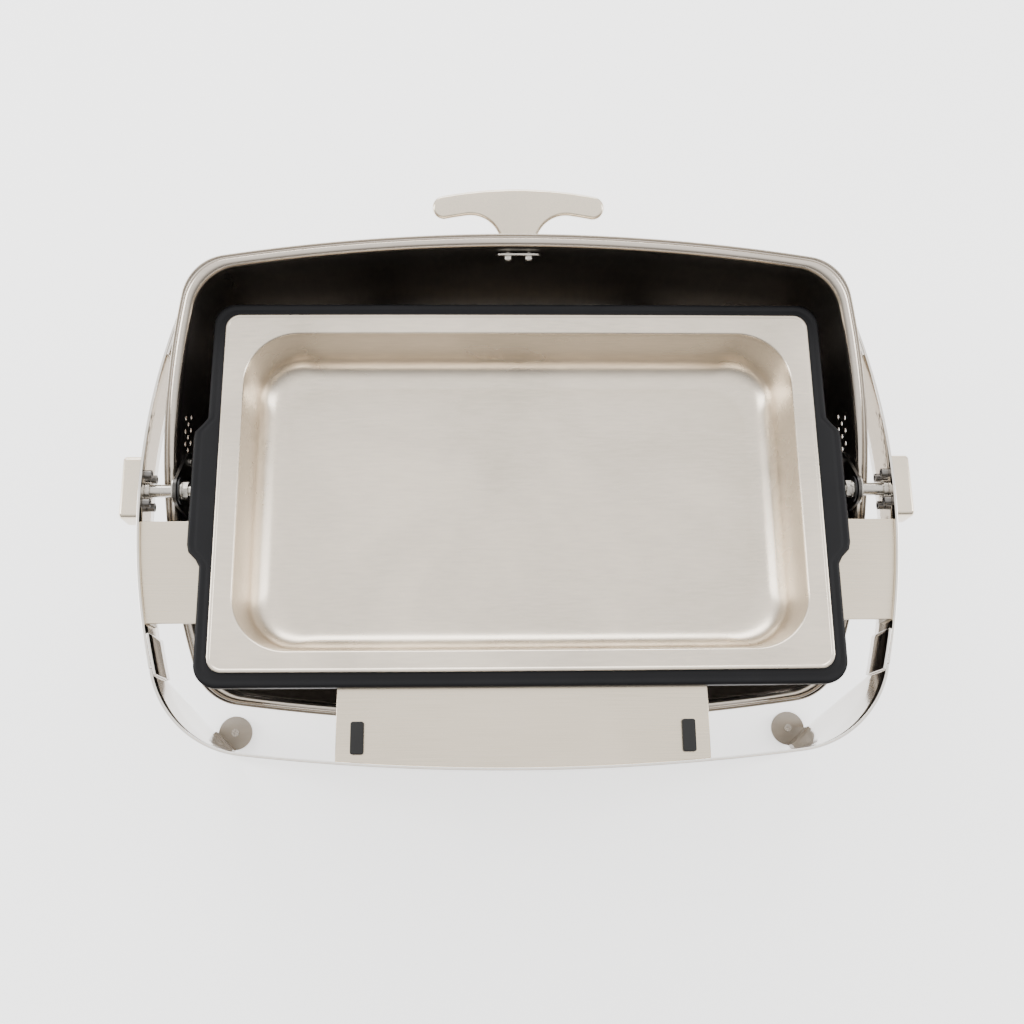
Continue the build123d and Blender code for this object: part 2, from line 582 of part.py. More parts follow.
def food_pan():
    """A full-size gastronorm pan: hemmed flange, drafted walls, rounded floor."""
    well_x, well_y = PAN_X - 2 * PAN_FLANGE, PAN_Y - 2 * PAN_FLANGE
    floor = PAN_RIM_Z - PAN_DEPTH
    outer = basin(well_x, well_y, PAN_WELL_CORNER, PAN_DRAFT, PAN_RIM_Z, floor, 13)
    inner = basin(well_x - 2 * PAN_SHEET, well_y - 2 * PAN_SHEET, PAN_WELL_CORNER - PAN_SHEET, PAN_DRAFT,
                  PAN_RIM_Z, floor + PAN_SHEET, 12)
    blank = RectangleRounded(PAN_X, PAN_Y, PAN_CORNER)
    within = RectangleRounded(PAN_X - 6, PAN_Y - 6, PAN_CORNER - 3)
    flange = prism(blank, PAN_RIM_Z - PAN_SHEET, PAN_RIM_Z)
    hem = prism(blank - within, PAN_RIM_Z - PAN_HEM + 0.2, PAN_RIM_Z - PAN_SHEET)
    return outer + flange + hem - inner


def water_rim_outline(inset):
    """The black rim seen from above, with the shallow lobe on each side."""
    rim = RectangleRounded(WATER_X - 2 * inset, WATER_Y - 2 * inset, WATER_CORNER - inset)
    root = WATER_X / 2 - inset - 2
    lobe_x = LOBE_X - inset
    for side in SIDES.values():
        corners = [(root, LOBE_FRONT - LOBE_SLOPE), (lobe_x, LOBE_FRONT), (lobe_x, LOBE_BACK),
                   (root, LOBE_BACK + LOBE_SLOPE)]
        lobe = make_face(Polyline(*[(side * px, py) for px, py in corners], close=True))
        rim += lobe
    return rim


def water_pan():
    """The black water pan: a broad skirted rim and a deep drafted well."""
    top = PAN_RIM_Z - PAN_HEM
    rim = prism(water_rim_outline(0), top - WATER_RIM_T, top)
    skirt = prism(water_rim_outline(0) - water_rim_outline(WATER_SKIRT_T), PLATE_TOP_Z + 0.2, top - WATER_RIM_T)
    outer = basin(WATER_WELL_X, WATER_WELL_Y, WATER_WELL_CORNER, WATER_DRAFT, top, WATER_FLOOR_Z, 16)
    inner = basin(WATER_WELL_X - 2 * WATER_SHEET, WATER_WELL_Y - 2 * WATER_SHEET,
                  WATER_WELL_CORNER - WATER_SHEET, WATER_DRAFT, top, WATER_FLOOR_Z + WATER_SHEET, 15)
    return rim + skirt + outer - inner


# ---- fuel ----------------------------------------------------------------------------------------
def fuel_bracket(side):
    """A tapered strap hung from the cradle that carries the tray for one fuel can."""
    side_y = CRADLE_LEG_Y - PLATE_T - STRAP_T / 2
    low, high = STRAP_FLOOR_Z, STRAP_TOP_Z
    middle = low + STRAP_T / 2
    route = [(-side_y, high), (-side_y, STRAP_KNEE_Z), (-STRAP_FLOOR_HALF, middle),
             (STRAP_FLOOR_HALF, middle), (side_y, STRAP_KNEE_Z), (side_y, high)]
    line = FilletPolyline(*route, radius=STRAP_BEND_R)
    strap = extrude(Plane.YZ * trace(line, STRAP_T), STRAP_W / 2, both=True)
    strap = Pos(FUEL_X, 0, 0) * strap
    tray = rod_z(low, low + STRAP_T + TRAY_H, FUEL_X, 0, TRAY_R)
    tray -= rod_z(low + STRAP_T, low + STRAP_T + TRAY_H, FUEL_X, 0, TRAY_R - TRAY_WALL)
    arm = block(FUEL_X + TRAY_R - 6, FUEL_X + COVER_ARM + 6, -6, 6, low, low + STRAP_T)
    return flip_x(strap + tray + arm, side)


def cover_pin(side):
    """The upright pin that the snuffer cover turns on, with a head above and a shoulder below."""
    x = FUEL_X + COVER_ARM
    pin = rod_z(STRAP_FLOOR_Z + STRAP_T, COVER_Z + 5, x, 0, COVER_PIN_R)
    pin += rod_z(STRAP_FLOOR_Z + STRAP_T, COVER_Z - 0.4, x, 0, COVER_PIN_R + 1.5)
    pin += rod_z(COVER_Z + COVER_T + 0.4, COVER_Z + 5, x, 0, COVER_PIN_R + 1.5)
    return flip_x(pin, side)


def fuel_cover(side):
    """A swinging snuffer plate, resting aside from the can."""
    x = FUEL_X + COVER_ARM
    disc = Pos(-COVER_ARM, 0) * Circle(COVER_R)
    arm = Pos(-COVER_ARM / 2, 0) * Rectangle(COVER_ARM, 12)
    eye = Circle(7)
    plate = extrude(disc + arm + eye, COVER_T) - Cylinder(COVER_PIN_R + RUNNING_GAP, 10)
    plate = Pos(x, 0, COVER_Z) * Rot(0, 0, -COVER_ASIDE) * plate
    return flip_x(plate, side)


def fuel_cup(side):
    """An open fuel can with a rolled rim."""
    cup = rod_z(CUP_FLOOR_Z, CUP_FLOOR_Z + FUEL_CUP_H, FUEL_X, 0, FUEL_CUP_R)
    cup = fillet(cup.edges().group_by(Axis.Z)[0], 3)
    cup -= rod_z(CUP_FLOOR_Z + FUEL_CUP_T, CUP_FLOOR_Z + FUEL_CUP_H, FUEL_X, 0, FUEL_CUP_R - FUEL_CUP_T)
    rim = rod_z(CUP_FLOOR_Z + FUEL_CUP_H - 2, CUP_FLOOR_Z + FUEL_CUP_H, FUEL_X, 0, FUEL_CUP_R + 1)
    rim -= rod_z(CUP_FLOOR_Z, CUP_FLOOR_Z + FUEL_CUP_H, FUEL_X, 0, FUEL_CUP_R - FUEL_CUP_T)
    return flip_x(cup + rim, side)


# ---- the whole dish ----------------------------------------------------------------------------------
def build():
    """Every node of the dish by name, in its rest position."""
    nodes = {"pan_cradle": pan_cradle(), "front_ledge": front_ledge(), "lap_rivets": lap_rivets(),
             "foot_screws": foot_screws(), "pivot_washers": pivot_washers()}
    for name, end in ENDS.items():
        nodes[name + "_frame"] = end_frame(end)
    for name, side in SIDES.items():
        nodes["side_rail_" + name] = side_rail(side)
        nodes["side_bracket_" + name] = side_bracket(side)
        nodes["ledge_pad_" + name] = ledge_pad(side)
        nodes["pivot_boss_" + name] = pivot_boss(side)
        nodes["boss_screws_" + name] = boss_screws(side)
        nodes["pivot_shaft_" + name] = pivot_shaft(side)
        nodes["shaft_collar_" + name] = shaft_collar(side)
        nodes["friction_disc_" + name] = friction_disc(side)
        nodes["end_nut_" + name] = end_nut(side)
        nodes["fuel_bracket_" + name] = fuel_bracket(side)
        nodes["cover_pin_" + name] = cover_pin(side)
        nodes["fuel_cover_" + name] = fuel_cover(side)
        nodes["fuel_cup_" + name] = fuel_cup(side)
        nodes["pivot_ear_" + name] = opened(pivot_ear(side))
        nodes["ear_bush_" + name] = opened(ear_bush(side))
        for end_name, end in ENDS.items():
            nodes["foot_bracket_" + end_name + "_" + name] = foot_bracket(side, end)
            nodes["rubber_foot_" + end_name + "_" + name] = rubber_foot(side, end)
    nodes["lid_shell"] = opened(lid_shell())
    nodes["ear_rivets"] = opened(ear_rivets())
    nodes["lid_handle"] = opened(lid_handle())
    nodes["handle_backing_plate"] = opened(handle_backing_plate())
    nodes["handle_studs"] = opened(handle_studs())
    nodes["handle_nuts"] = opened(handle_nuts())
    nodes["food_pan"] = food_pan()
    nodes["water_pan"] = water_pan()
    return nodes


def main():
    os.makedirs("parts", exist_ok=True)
    for name, shape in build().items():
        placed = Pos(0, -FRAME_CENTRE_Y, 0) * shape
        placed.label = name
        export_step(placed, "parts/" + name + ".step")


main()
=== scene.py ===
# %% [markdown]
# # A roll-top chafing dish, open and ready for food
# The dish is a polished steel band on four legs. A deep lid hangs from two side pivots and is
# swung open, so it lies under and behind two nested pans: a black water pan and a steel food pan.
# The working parts arrive as a measured model. This lesson gives every piece its finished surface.

# %% Load the measured model
import json
import math

import bmesh
import bpy
import numpy as np
from mathutils import Matrix, Vector


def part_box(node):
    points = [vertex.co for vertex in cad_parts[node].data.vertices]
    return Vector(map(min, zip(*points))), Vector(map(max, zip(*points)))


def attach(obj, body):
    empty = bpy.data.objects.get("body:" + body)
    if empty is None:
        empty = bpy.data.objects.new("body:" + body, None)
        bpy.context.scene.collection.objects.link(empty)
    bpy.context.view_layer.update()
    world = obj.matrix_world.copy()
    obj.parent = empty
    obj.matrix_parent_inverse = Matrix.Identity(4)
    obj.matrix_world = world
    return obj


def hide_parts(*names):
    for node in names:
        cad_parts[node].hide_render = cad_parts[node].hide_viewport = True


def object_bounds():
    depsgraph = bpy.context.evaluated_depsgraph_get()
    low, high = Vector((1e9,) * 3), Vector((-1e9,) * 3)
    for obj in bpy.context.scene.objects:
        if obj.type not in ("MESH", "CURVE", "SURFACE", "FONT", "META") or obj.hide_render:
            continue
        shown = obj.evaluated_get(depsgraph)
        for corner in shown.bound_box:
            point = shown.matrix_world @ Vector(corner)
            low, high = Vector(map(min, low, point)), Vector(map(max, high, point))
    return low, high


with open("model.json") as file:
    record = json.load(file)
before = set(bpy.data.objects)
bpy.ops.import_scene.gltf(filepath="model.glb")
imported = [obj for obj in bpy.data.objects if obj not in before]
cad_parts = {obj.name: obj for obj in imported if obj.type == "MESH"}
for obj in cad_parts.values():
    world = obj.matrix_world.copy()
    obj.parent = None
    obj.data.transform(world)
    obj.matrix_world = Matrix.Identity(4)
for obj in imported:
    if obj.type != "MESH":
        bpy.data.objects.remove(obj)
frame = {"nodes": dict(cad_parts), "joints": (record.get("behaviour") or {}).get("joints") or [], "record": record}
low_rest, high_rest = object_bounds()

nodes = frame["nodes"]
joints = {joint["name"]: joint for joint in frame["joints"]}

# %% [markdown]
# ## Where things are
# Lengths are in metres. The pan's box gives the height of its rim and the middle of the dish; the
# lid's joint gives the pivot. Everything else is measured from those two places.

# %% Datum places
MM = 0.001
PAN_LOW, PAN_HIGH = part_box("food_pan")
RIM_Z = PAN_HIGH.z
MIDDLE_Y = (PAN_LOW.y + PAN_HIGH.y) / 2
PIVOT = Vector(joints["lid_roll"]["pos_m"])
LID_TURN = math.radians(joints["lid_roll"]["range_deg"][0])
print("rim height", round(RIM_Z, 4), "pivot", tuple(round(v, 4) for v in PIVOT))

# %% [markdown]
# ## Drawing an outline with arcs
# Pans and lid are all rounded rectangles, some with bowed sides. A bowed side is an arc of a very
# large circle, and each corner is a small circle that touches both side circles from the inside.
# Its middle is therefore where two circles cross, which one formula finds for a whole stack of
# outlines at once. A straight side is an arc of sixty metres, too flat to tell from straight.

# %% Bowed rectangle
STRAIGHT = 60.0
SIDE_STEPS, CORNER_STEPS, END_STEPS = 24, 16, 34


def bowed_quarter(half_x, half_y, side_r, end_r, corner_r):
    """Points of the first quarter, from +X round to +Y. The side arc's middle is
    (half_x - side_r, 0) and the end arc's is (0, half_y - end_r); the corner's middle lies
    side_r - corner_r from the first and end_r - corner_r from the second."""
    ax, by = half_x - side_r, half_y - end_r
    ra, rb = side_r - corner_r, end_r - corner_r
    gap = np.hypot(ax, by)
    along = (ra ** 2 - rb ** 2 + gap ** 2) / (2 * gap)
    across = np.sqrt(np.maximum(ra ** 2 - along ** 2, 0))
    ux, uy = -ax / gap, by / gap
    cx = ax + along * ux - across * uy
    cy = along * uy + across * ux
    start, stop = np.arctan2(cy, cx - ax), np.arctan2(cy - by, cx)
    t_side = np.linspace(0, 1, SIDE_STEPS, endpoint=False)
    t_corner = np.linspace(0, 1, CORNER_STEPS, endpoint=False)
    t_end = np.linspace(0, 1, END_STEPS)
    a = start[:, None] * t_side
    c = start[:, None] + (stop - start)[:, None] * t_corner
    e = stop[:, None] + (np.pi / 2 - stop)[:, None] * t_end
    x = np.hstack([ax[:, None] + side_r[:, None] * np.cos(a),
                   cx[:, None] + corner_r[:, None] * np.cos(c),
                   end_r[:, None] * np.cos(e)])
    y = np.hstack([side_r[:, None] * np.sin(a),
                   cy[:, None] + corner_r[:, None] * np.sin(c),
                   by[:, None] + end_r[:, None] * np.sin(e)])
    return x, y


def bowed_loops(half_x, half_y, side_r, end_r, corner_r):
    """A stack of closed outlines, one row each: the quarter and its three mirrored copies."""
    stack = [np.atleast_1d(np.asarray(v, float)) for v in (half_x, half_y, side_r, end_r, corner_r)]
    rows = max(len(v) for v in stack)
    x, y = bowed_quarter(*[np.broadcast_to(v, rows) for v in stack])
    loop_x = np.hstack([x, -x[:, -2::-1], -x[:, 1:], x[:, -2:0:-1]])
    loop_y = np.hstack([y, y[:, -2::-1], -y[:, 1:], -y[:, -2:0:-1]])
    return loop_x, loop_y


print("points in one outline", bowed_loops(0.2, 0.1, 9, 9, 0.02)[0].shape[1])

# %% [markdown]
# ## From rings to a mesh
# A drawn sheet-metal vessel is a stack of rings. The rings run from the middle of the inside, out
# over the rim and back to the middle of the outside, so the wall is a real double skin and the mesh
# is closed.

# %% Ring mesh helper
def grid_mesh(name, points, wrap, slots=None):
    """A mesh from a grid of points, rows by columns; wrap joins the last column to the first."""
    rows, cols = points.shape[:2]
    mesh = bpy.data.meshes.new(name)
    index = np.arange(rows * cols).reshape(rows, cols)
    if wrap:
        index = np.hstack([index, index[:, :1]])
    quads = np.stack([index[:-1, :-1], index[:-1, 1:], index[1:, 1:], index[1:, :-1]], -1)
    mesh.from_pydata(points.reshape(-1, 3), [], quads.reshape(-1, 4))
    if slots is not None:
        rows_of = np.repeat(np.asarray(slots, np.int32), quads.shape[1])
        mesh.polygons.foreach_set("material_index", rows_of)
    return mesh


WELD = 0.001 * MM


def finish_mesh(mesh):
    """Welds poles and seams, turns faces outwards and shades the surface smooth."""
    work = bmesh.new()
    work.from_mesh(mesh)
    bmesh.ops.remove_doubles(work, verts=work.verts, dist=WELD)
    bmesh.ops.recalc_face_normals(work, faces=work.faces)
    work.to_mesh(mesh)
    work.free()
    mesh.shade_smooth()


def new_piece(name, mesh, materials):
    """Puts a mesh into the scene with its materials."""
    piece = bpy.data.objects.new(name, mesh)
    bpy.context.scene.collection.objects.link(piece)
    for material in materials:
        mesh.materials.append(material)
    return piece


def smooth_steps(values, count):
    """Resamples a short profile along a curve through its points. The points are spaced by the
    square root of the distance between them, each has the slope of its neighbours, and cubic
    Hermite pieces join them."""
    values = np.asarray(values, float)
    chord = np.sqrt(np.maximum(np.hypot(*np.diff(values[:, :2], axis=0).T), 1e-9))
    knots = np.concatenate([[0], np.cumsum(chord)])
    place = np.linspace(0, knots[-1], count)
    slopes = np.gradient(values, knots, axis=0)
    cell = np.clip(np.searchsorted(knots, place, side="right") - 1, 0, len(knots) - 2)
    width = (knots[cell + 1] - knots[cell])[:, None]
    t = (place - knots[cell])[:, None] / width
    a, b = values[cell], values[cell + 1]
    ma, mb = slopes[cell] * width, slopes[cell + 1] * width
    return ((2 * t ** 3 - 3 * t ** 2 + 1) * a + (t ** 3 - 2 * t ** 2 + t) * ma
            + (3 * t ** 2 - 2 * t ** 3) * b + (t ** 3 - t ** 2) * mb)


# %% [markdown]
# ## Shared surface effects
# Every steel here was brushed, polished or drawn, and has been wiped and handled. Two small node
# groups hold those effects. One stretches noise along an axis, which reads as brushing. The other
# is a slow, cloudy noise for wiping marks. Each material chooses how much of them it takes.

# %% Node groups
def empty_group(name, inputs, outputs):
    """A node group with named float or vector sockets."""
    group = bpy.data.node_groups.new(name, "ShaderNodeTree")
    for label, kind, default in inputs:
        socket = group.interface.new_socket(label, in_out="INPUT", socket_type=kind)
        socket.default_value = default
    for label in outputs:
        group.interface.new_socket(label, in_out="OUTPUT", socket_type="NodeSocketFloat")
    enter = group.nodes.new("NodeGroupInput")
    leave = group.nodes.new("NodeGroupOutput")
    return group, enter, leave


def noise(tree, source, **settings):
    """A noise texture on some coordinates; the settings name its inputs."""
    node = tree.nodes.new("ShaderNodeTexNoise")
    for label, value in settings.items():
        node.inputs[label].default_value = value
    tree.links.new(source, node.inputs["Vector"])
    return node


def brushed_group():
    """Noise whose coordinates are stretched by a vector, so it draws out into fine hairs."""
    group, enter, leave = empty_group(
        "brushed hairs",
        [("Stretch", "NodeSocketVector", (20.0, 900.0, 900.0)),
         ("Contrast", "NodeSocketFloat", 1.0)],
        ["Hairs", "Broad"])
    links, make = group.links, group.nodes.new
    where = make("ShaderNodeTexCoord")
    scale = make("ShaderNodeVectorMath")
    scale.operation = "MULTIPLY"
    links.new(where.outputs["Object"], scale.inputs[0])
    links.new(enter.outputs["Stretch"], scale.inputs[1])
    fine = noise(group, scale.outputs[0], Scale=1.0, Detail=3.0)
    spread = make("ShaderNodeMapRange")
    spread.inputs["From Min"].default_value = 0.25
    spread.inputs["From Max"].default_value = 0.75
    links.new(fine.outputs["Fac"], spread.inputs["Value"])
    links.new(enter.outputs["Contrast"], spread.inputs["To Max"])
    links.new(spread.outputs["Result"], leave.inputs["Hairs"])
    broad = noise(group, scale.outputs[0], Scale=0.12, Detail=2.0)
    links.new(broad.outputs["Fac"], leave.inputs["Broad"])
    return group


def clouds_group():
    """Slow cloudy noise for wiping marks, and a sharper version for dried spots."""
    group, enter, leave = empty_group(
        "wiped clouds",
        [("Scale", "NodeSocketFloat", 14.0), ("Spot Scale", "NodeSocketFloat", 160.0)],
        ["Clouds", "Spots"])
    links = group.links
    where = group.nodes.new("ShaderNodeTexCoord")
    slow = noise(group, where.outputs["Object"], Detail=4.0, Distortion=0.6)
    links.new(enter.outputs["Scale"], slow.inputs["Scale"])
    links.new(slow.outputs["Fac"], leave.inputs["Clouds"])
    spots = noise(group, where.outputs["Object"], Detail=6.0)
    links.new(enter.outputs["Spot Scale"], spots.inputs["Scale"])
    links.new(spots.outputs["Fac"], leave.inputs["Spots"])
    return group


BRUSHED, CLOUDS = brushed_group(), clouds_group()
print("effects", BRUSHED.name, "and", CLOUDS.name)

# %% [markdown]
# ## Steel finishes
# One function makes any of the steels: a base colour that drifts a little between two tints, a
# roughness that follows hairs and clouds, and a faint bump from the hairs. What differs between
# mirror, satin and drawn steel is only how strong each of these is and which way the hairs run.
# Two steels carry painted shade in their tints: the lid's inside and the pivot ear are darkened so
# that they look shaded.

# %% Steel material
BUMP_DEPTH = 0.2 * MM
BROAD_SHARE = 0.6


def new_material(name):
    """A material with its node tree and its Principled BSDF."""
    material = bpy.data.materials.new(name)
    material.use_nodes = True
    return material, material.node_tree, material.node_tree.nodes["Principled BSDF"]


def place_group(tree, group, values):
    """Adds a group node and sets its inputs."""
    node = tree.nodes.new("ShaderNodeGroup")
    node.node_tree = group
    for label, value in values.items():
        node.inputs[label].default_value = value
    return node


def remap(tree, source, low, high):
    """A value from 0..1 moved to low..high."""
    node = tree.nodes.new("ShaderNodeMapRange")
    node.inputs["To Min"].default_value = low
    node.inputs["To Max"].default_value = high
    tree.links.new(source, node.inputs["Value"])
    return node.outputs["Result"]


def tint_between(tree, dark, light, factor):
    """A colour between two tints, by a factor that varies over the surface."""
    node = tree.nodes.new("ShaderNodeMix")
    node.data_type = "RGBA"
    node.inputs["A"].default_value = (*dark, 1)
    node.inputs["B"].default_value = (*light, 1)
    tree.links.new(factor, node.inputs["Factor"])
    return node.outputs["Result"]


def fine_bump(tree, height, strength):
    """A shallow bump from a height that varies over the surface."""
    node = tree.nodes.new("ShaderNodeBump")
    node.inputs["Strength"].default_value = strength
    node.inputs["Distance"].default_value = BUMP_DEPTH
    tree.links.new(height, node.inputs["Height"])
    return node.outputs["Normal"]


def steel(name, light, dark, rough, stretch, hair_bump=0.03, cloud_scale=14.0, cloud_share=0.5):
    """A steel whose tint, roughness and bump follow the shared effects; cloud_share is how much of
    the tint follows the clouds rather than the hairs."""
    material, tree, shader = new_material(name)
    shader.inputs["Metallic"].default_value = 1.0
    hairs = place_group(tree, BRUSHED, {"Stretch": stretch, "Contrast": 1.0})
    clouds = place_group(tree, CLOUDS, {"Scale": cloud_scale})
    both = tree.nodes.new("ShaderNodeMath")
    both.operation = "MULTIPLY_ADD"
    both.inputs[1].default_value = 1.0 - cloud_share
    tree.links.new(hairs.outputs["Hairs"], both.inputs[0])
    patch = remap(tree, clouds.outputs["Clouds"], -0.5 * cloud_share, 1.5 * cloud_share)
    tree.links.new(patch, both.inputs[2])
    tint = tint_between(tree, dark, light, both.outputs[0])
    tree.links.new(tint, shader.inputs["Base Color"])
    low, high = rough
    mixed = tree.nodes.new("ShaderNodeMath")
    mixed.operation = "ADD"
    tree.links.new(remap(tree, clouds.outputs["Clouds"], low, high), mixed.inputs[0])
    broad = remap(tree, hairs.outputs["Broad"], 0.0, (high - low) * BROAD_SHARE)
    tree.links.new(broad, mixed.inputs[1])
    tree.links.new(mixed.outputs[0], shader.inputs["Roughness"])
    bump = fine_bump(tree, hairs.outputs["Hairs"], hair_bump)
    tree.links.new(bump, shader.inputs["Normal"])
    return material


MIRROR_STEEL = steel(
    "mirror_band_steel", light=(0.74, 0.70, 0.65), dark=(0.66, 0.62, 0.57), rough=(0.03, 0.09),
    stretch=(60.0, 60.0, 900.0), hair_bump=0.015)
SATIN_STEEL = steel(
    "satin_ledge_steel", light=(0.70, 0.61, 0.485), dark=(0.56, 0.485, 0.38), rough=(0.18, 0.30),
    stretch=(18.0, 1400.0, 900.0), hair_bump=0.03, cloud_scale=6.0)
FOOT_STEEL = steel(
    "foot_leaf_steel", light=(0.36, 0.32, 0.27), dark=(0.26, 0.23, 0.195), rough=(0.20, 0.30),
    stretch=(40.0, 120.0, 120.0), hair_bump=0.0, cloud_scale=12.0)
CAST_SATIN = steel(
    "bead_blasted_handle_steel", light=(0.76, 0.67, 0.54), dark=(0.62, 0.545, 0.435),
    rough=(0.16, 0.26), stretch=(1100.0, 1100.0, 1100.0), hair_bump=0.02)
PAN_STEEL = steel(
    "drawn_pan_steel", light=(0.78, 0.69, 0.575), dark=(0.52, 0.46, 0.38), rough=(0.13, 0.33),
    stretch=(60.0, 420.0, 420.0), hair_bump=0.004, cloud_scale=7.0, cloud_share=0.75)
LID_OUTSIDE = steel(
    "lid_outside_steel", light=(0.54, 0.485, 0.42), dark=(0.46, 0.41, 0.355), rough=(0.14, 0.24),
    stretch=(16.0, 500.0, 500.0), hair_bump=0.012)
# The lid's inside is the same sheet as its outside. Its darker tints are painted shade, so the open lid's hollow
# reads dark.
LID_INSIDE_PAINTED_SHADE = steel(
    "lid_inside_painted_shade_steel", light=(0.34, 0.315, 0.29), dark=(0.27, 0.25, 0.23), rough=(0.20, 0.32),
    stretch=(260.0, 10.0, 10.0), hair_bump=0.008, cloud_scale=6.0, cloud_share=0.8)
PLAIN_STEEL = steel(
    "plain_sheet_steel", light=(0.50, 0.475, 0.44), dark=(0.40, 0.38, 0.35), rough=(0.30, 0.42),
    stretch=(30.0, 900.0, 900.0), hair_bump=0.05)
FASTENER_STEEL = steel(
    "fastener_steel", light=(0.56, 0.53, 0.48), dark=(0.40, 0.375, 0.34), rough=(0.16, 0.30),
    stretch=(1400.0, 1400.0, 200.0), hair_bump=0.05, cloud_scale=90.0)
SCREW_STEEL = steel(
    "dark_socket_screw_steel", light=(0.20, 0.19, 0.18), dark=(0.12, 0.115, 0.11),
    rough=(0.20, 0.34), stretch=(1400.0, 1400.0, 200.0), hair_bump=0.05, cloud_scale=90.0)
BUSH_BRASS = steel(
    "bearing_brass", light=(0.68, 0.50, 0.24), dark=(0.55, 0.40, 0.18), rough=(0.28, 0.42),
    stretch=(1200.0, 200.0, 1200.0), cloud_scale=90.0)
FUEL_TIN = steel(
    "fuel_can_tin", light=(0.66, 0.67, 0.69), dark=(0.55, 0.56, 0.58), rough=(0.22, 0.38),
    stretch=(300.0, 300.0, 60.0), cloud_scale=40.0)
# The pivot ear is a plain steel plate in the lid's shade; its near-black tint is painted shade.
EAR_PAINTED_SHADE_STEEL = steel(
    "ear_painted_shade_steel", light=(0.10, 0.095, 0.09), dark=(0.06, 0.057, 0.054), rough=(0.24, 0.36),
    stretch=(60.0, 900.0, 900.0), cloud_scale=60.0)
print("steels made", len(bpy.data.materials))

# %% [markdown]
# ## Black coating and rubber
# The water pan is coated black and nearly matt, with a very fine tooth that keeps its highlights
# soft. Rubber is duller and rougher, and nylon a little shinier. One function makes all three from
# the slow clouds and the fine spots.

# %% Black materials
COATING_CLOUD_SCALE = 22.0


def black(name, light, dark, rough, grain, tooth, shine):
    """A dark coating or rubber: clouds tint and roughen it, and spots at the grain's scale give it
    its fine tooth."""
    material, tree, shader = new_material(name)
    shader.inputs["Specular IOR Level"].default_value = shine
    clouds = place_group(tree, CLOUDS, {"Scale": COATING_CLOUD_SCALE, "Spot Scale": grain})
    tint = tint_between(tree, dark, light, clouds.outputs["Clouds"])
    tree.links.new(tint, shader.inputs["Base Color"])
    tree.links.new(remap(tree, clouds.outputs["Clouds"], *rough), shader.inputs["Roughness"])
    bump = fine_bump(tree, clouds.outputs["Spots"], tooth)
    tree.links.new(bump, shader.inputs["Normal"])
    return material


BLACK_COATING = black(
    "black_pan_coating", light=(0.010, 0.010, 0.011), dark=(0.006, 0.006, 0.007),
    rough=(0.38, 0.52), grain=1500.0, tooth=0.12, shine=0.12)
BLACK_RUBBER = black(
    "black_rubber", light=(0.018, 0.018, 0.018), dark=(0.010, 0.010, 0.010),
    rough=(0.62, 0.80), grain=2200.0, tooth=0.3, shine=0.25)
BLACK_NYLON = black(
    "black_nylon", light=(0.012, 0.012, 0.013), dark=(0.008, 0.008, 0.008),
    rough=(0.34, 0.48), grain=2600.0, tooth=0.1, shine=0.35)
print("materials", len(bpy.data.materials))

# %% [markdown]
# ## The food pan
# A full-size catering pan is deep-drawn from thin steel: a flat flange with a rolled hem, drafted
# walls, and generous radii so that food lifts out. The hem is short and full of turns, so it is
# written as rows of numbers; the walls and the floor are arcs worked out from their radii.

# %% Food pan
PAN_HALF_X = (PAN_HIGH.x - PAN_LOW.x) / 2
PAN_HALF_Y = (PAN_HIGH.y - PAN_LOW.y) / 2
PAN_DEPTH = PAN_HIGH.z - PAN_LOW.z
PAN_SHEET = 0.9 * MM
FLOOR_CROWN = 0.6 * MM
LIP_STEPS, WALL_STEPS, BEND_STEPS, FLOOR_STEPS = 8, 7, 18, 8
CORNER_TAPER = 0.6

# The hem from inside to outside, in mm: inset from the rim, depth below the top, corner radius.
PAN_HEM = [(1.0, 3.7, 12.0), (0.15, 3.2, 12.9), (0.0, 2.2, 13.0), (0.05, 1.0, 12.9),
           (0.6, 0.25, 12.4), (1.5, 0.0, 11.5), (2.5, 0.2, 10.5), (3.1, 0.75, 10.0),
           (3.5, 1.0, 9.6), (4.2, 0.95, 9.0), (7.0, 0.9, 16.0), (11.0, 0.9, 32.0)]
PAN_UNDER = [(12.0, 1.8, 34.0), (4.5, 1.9, 9.4), (2.4, 2.4, 11.0), (1.8, 3.5, 11.4)]


def whole(rows_mm):
    """Rows of millimetres as metres, with a shrink factor of one added to each."""
    rows = np.array(rows_mm) * MM
    return np.hstack([rows, np.ones((len(rows), 1))])


def outer_skin(inside, sheet, depth):
    """The outside of a wall: the inside moved out and down by one sheet, at most to the depth."""
    outside = inside.copy()
    outside[:, 0] -= sheet
    outside[:, 2] += sheet
    outside[:, 1] = np.minimum(outside[:, 1] + sheet, depth)
    return outside


def vessel_rings(rows, half_x, half_y, middle_y, top_z):
    """Rings from rows of (inset, depth below the top, corner radius, shrink): the outline is drawn
    in by the inset, then shrunk towards its middle by the last factor, which closes the floor to a
    point."""
    rows = np.asarray(rows, float)
    x, y = bowed_loops(half_x - rows[:, 0], half_y - rows[:, 0], STRAIGHT, STRAIGHT, rows[:, 2])
    x = x * rows[:, 3:4]
    y = y * rows[:, 3:4] + middle_y
    z = np.broadcast_to((top_z - rows[:, 1])[:, None], x.shape)
    return np.stack([x, y, z], -1)


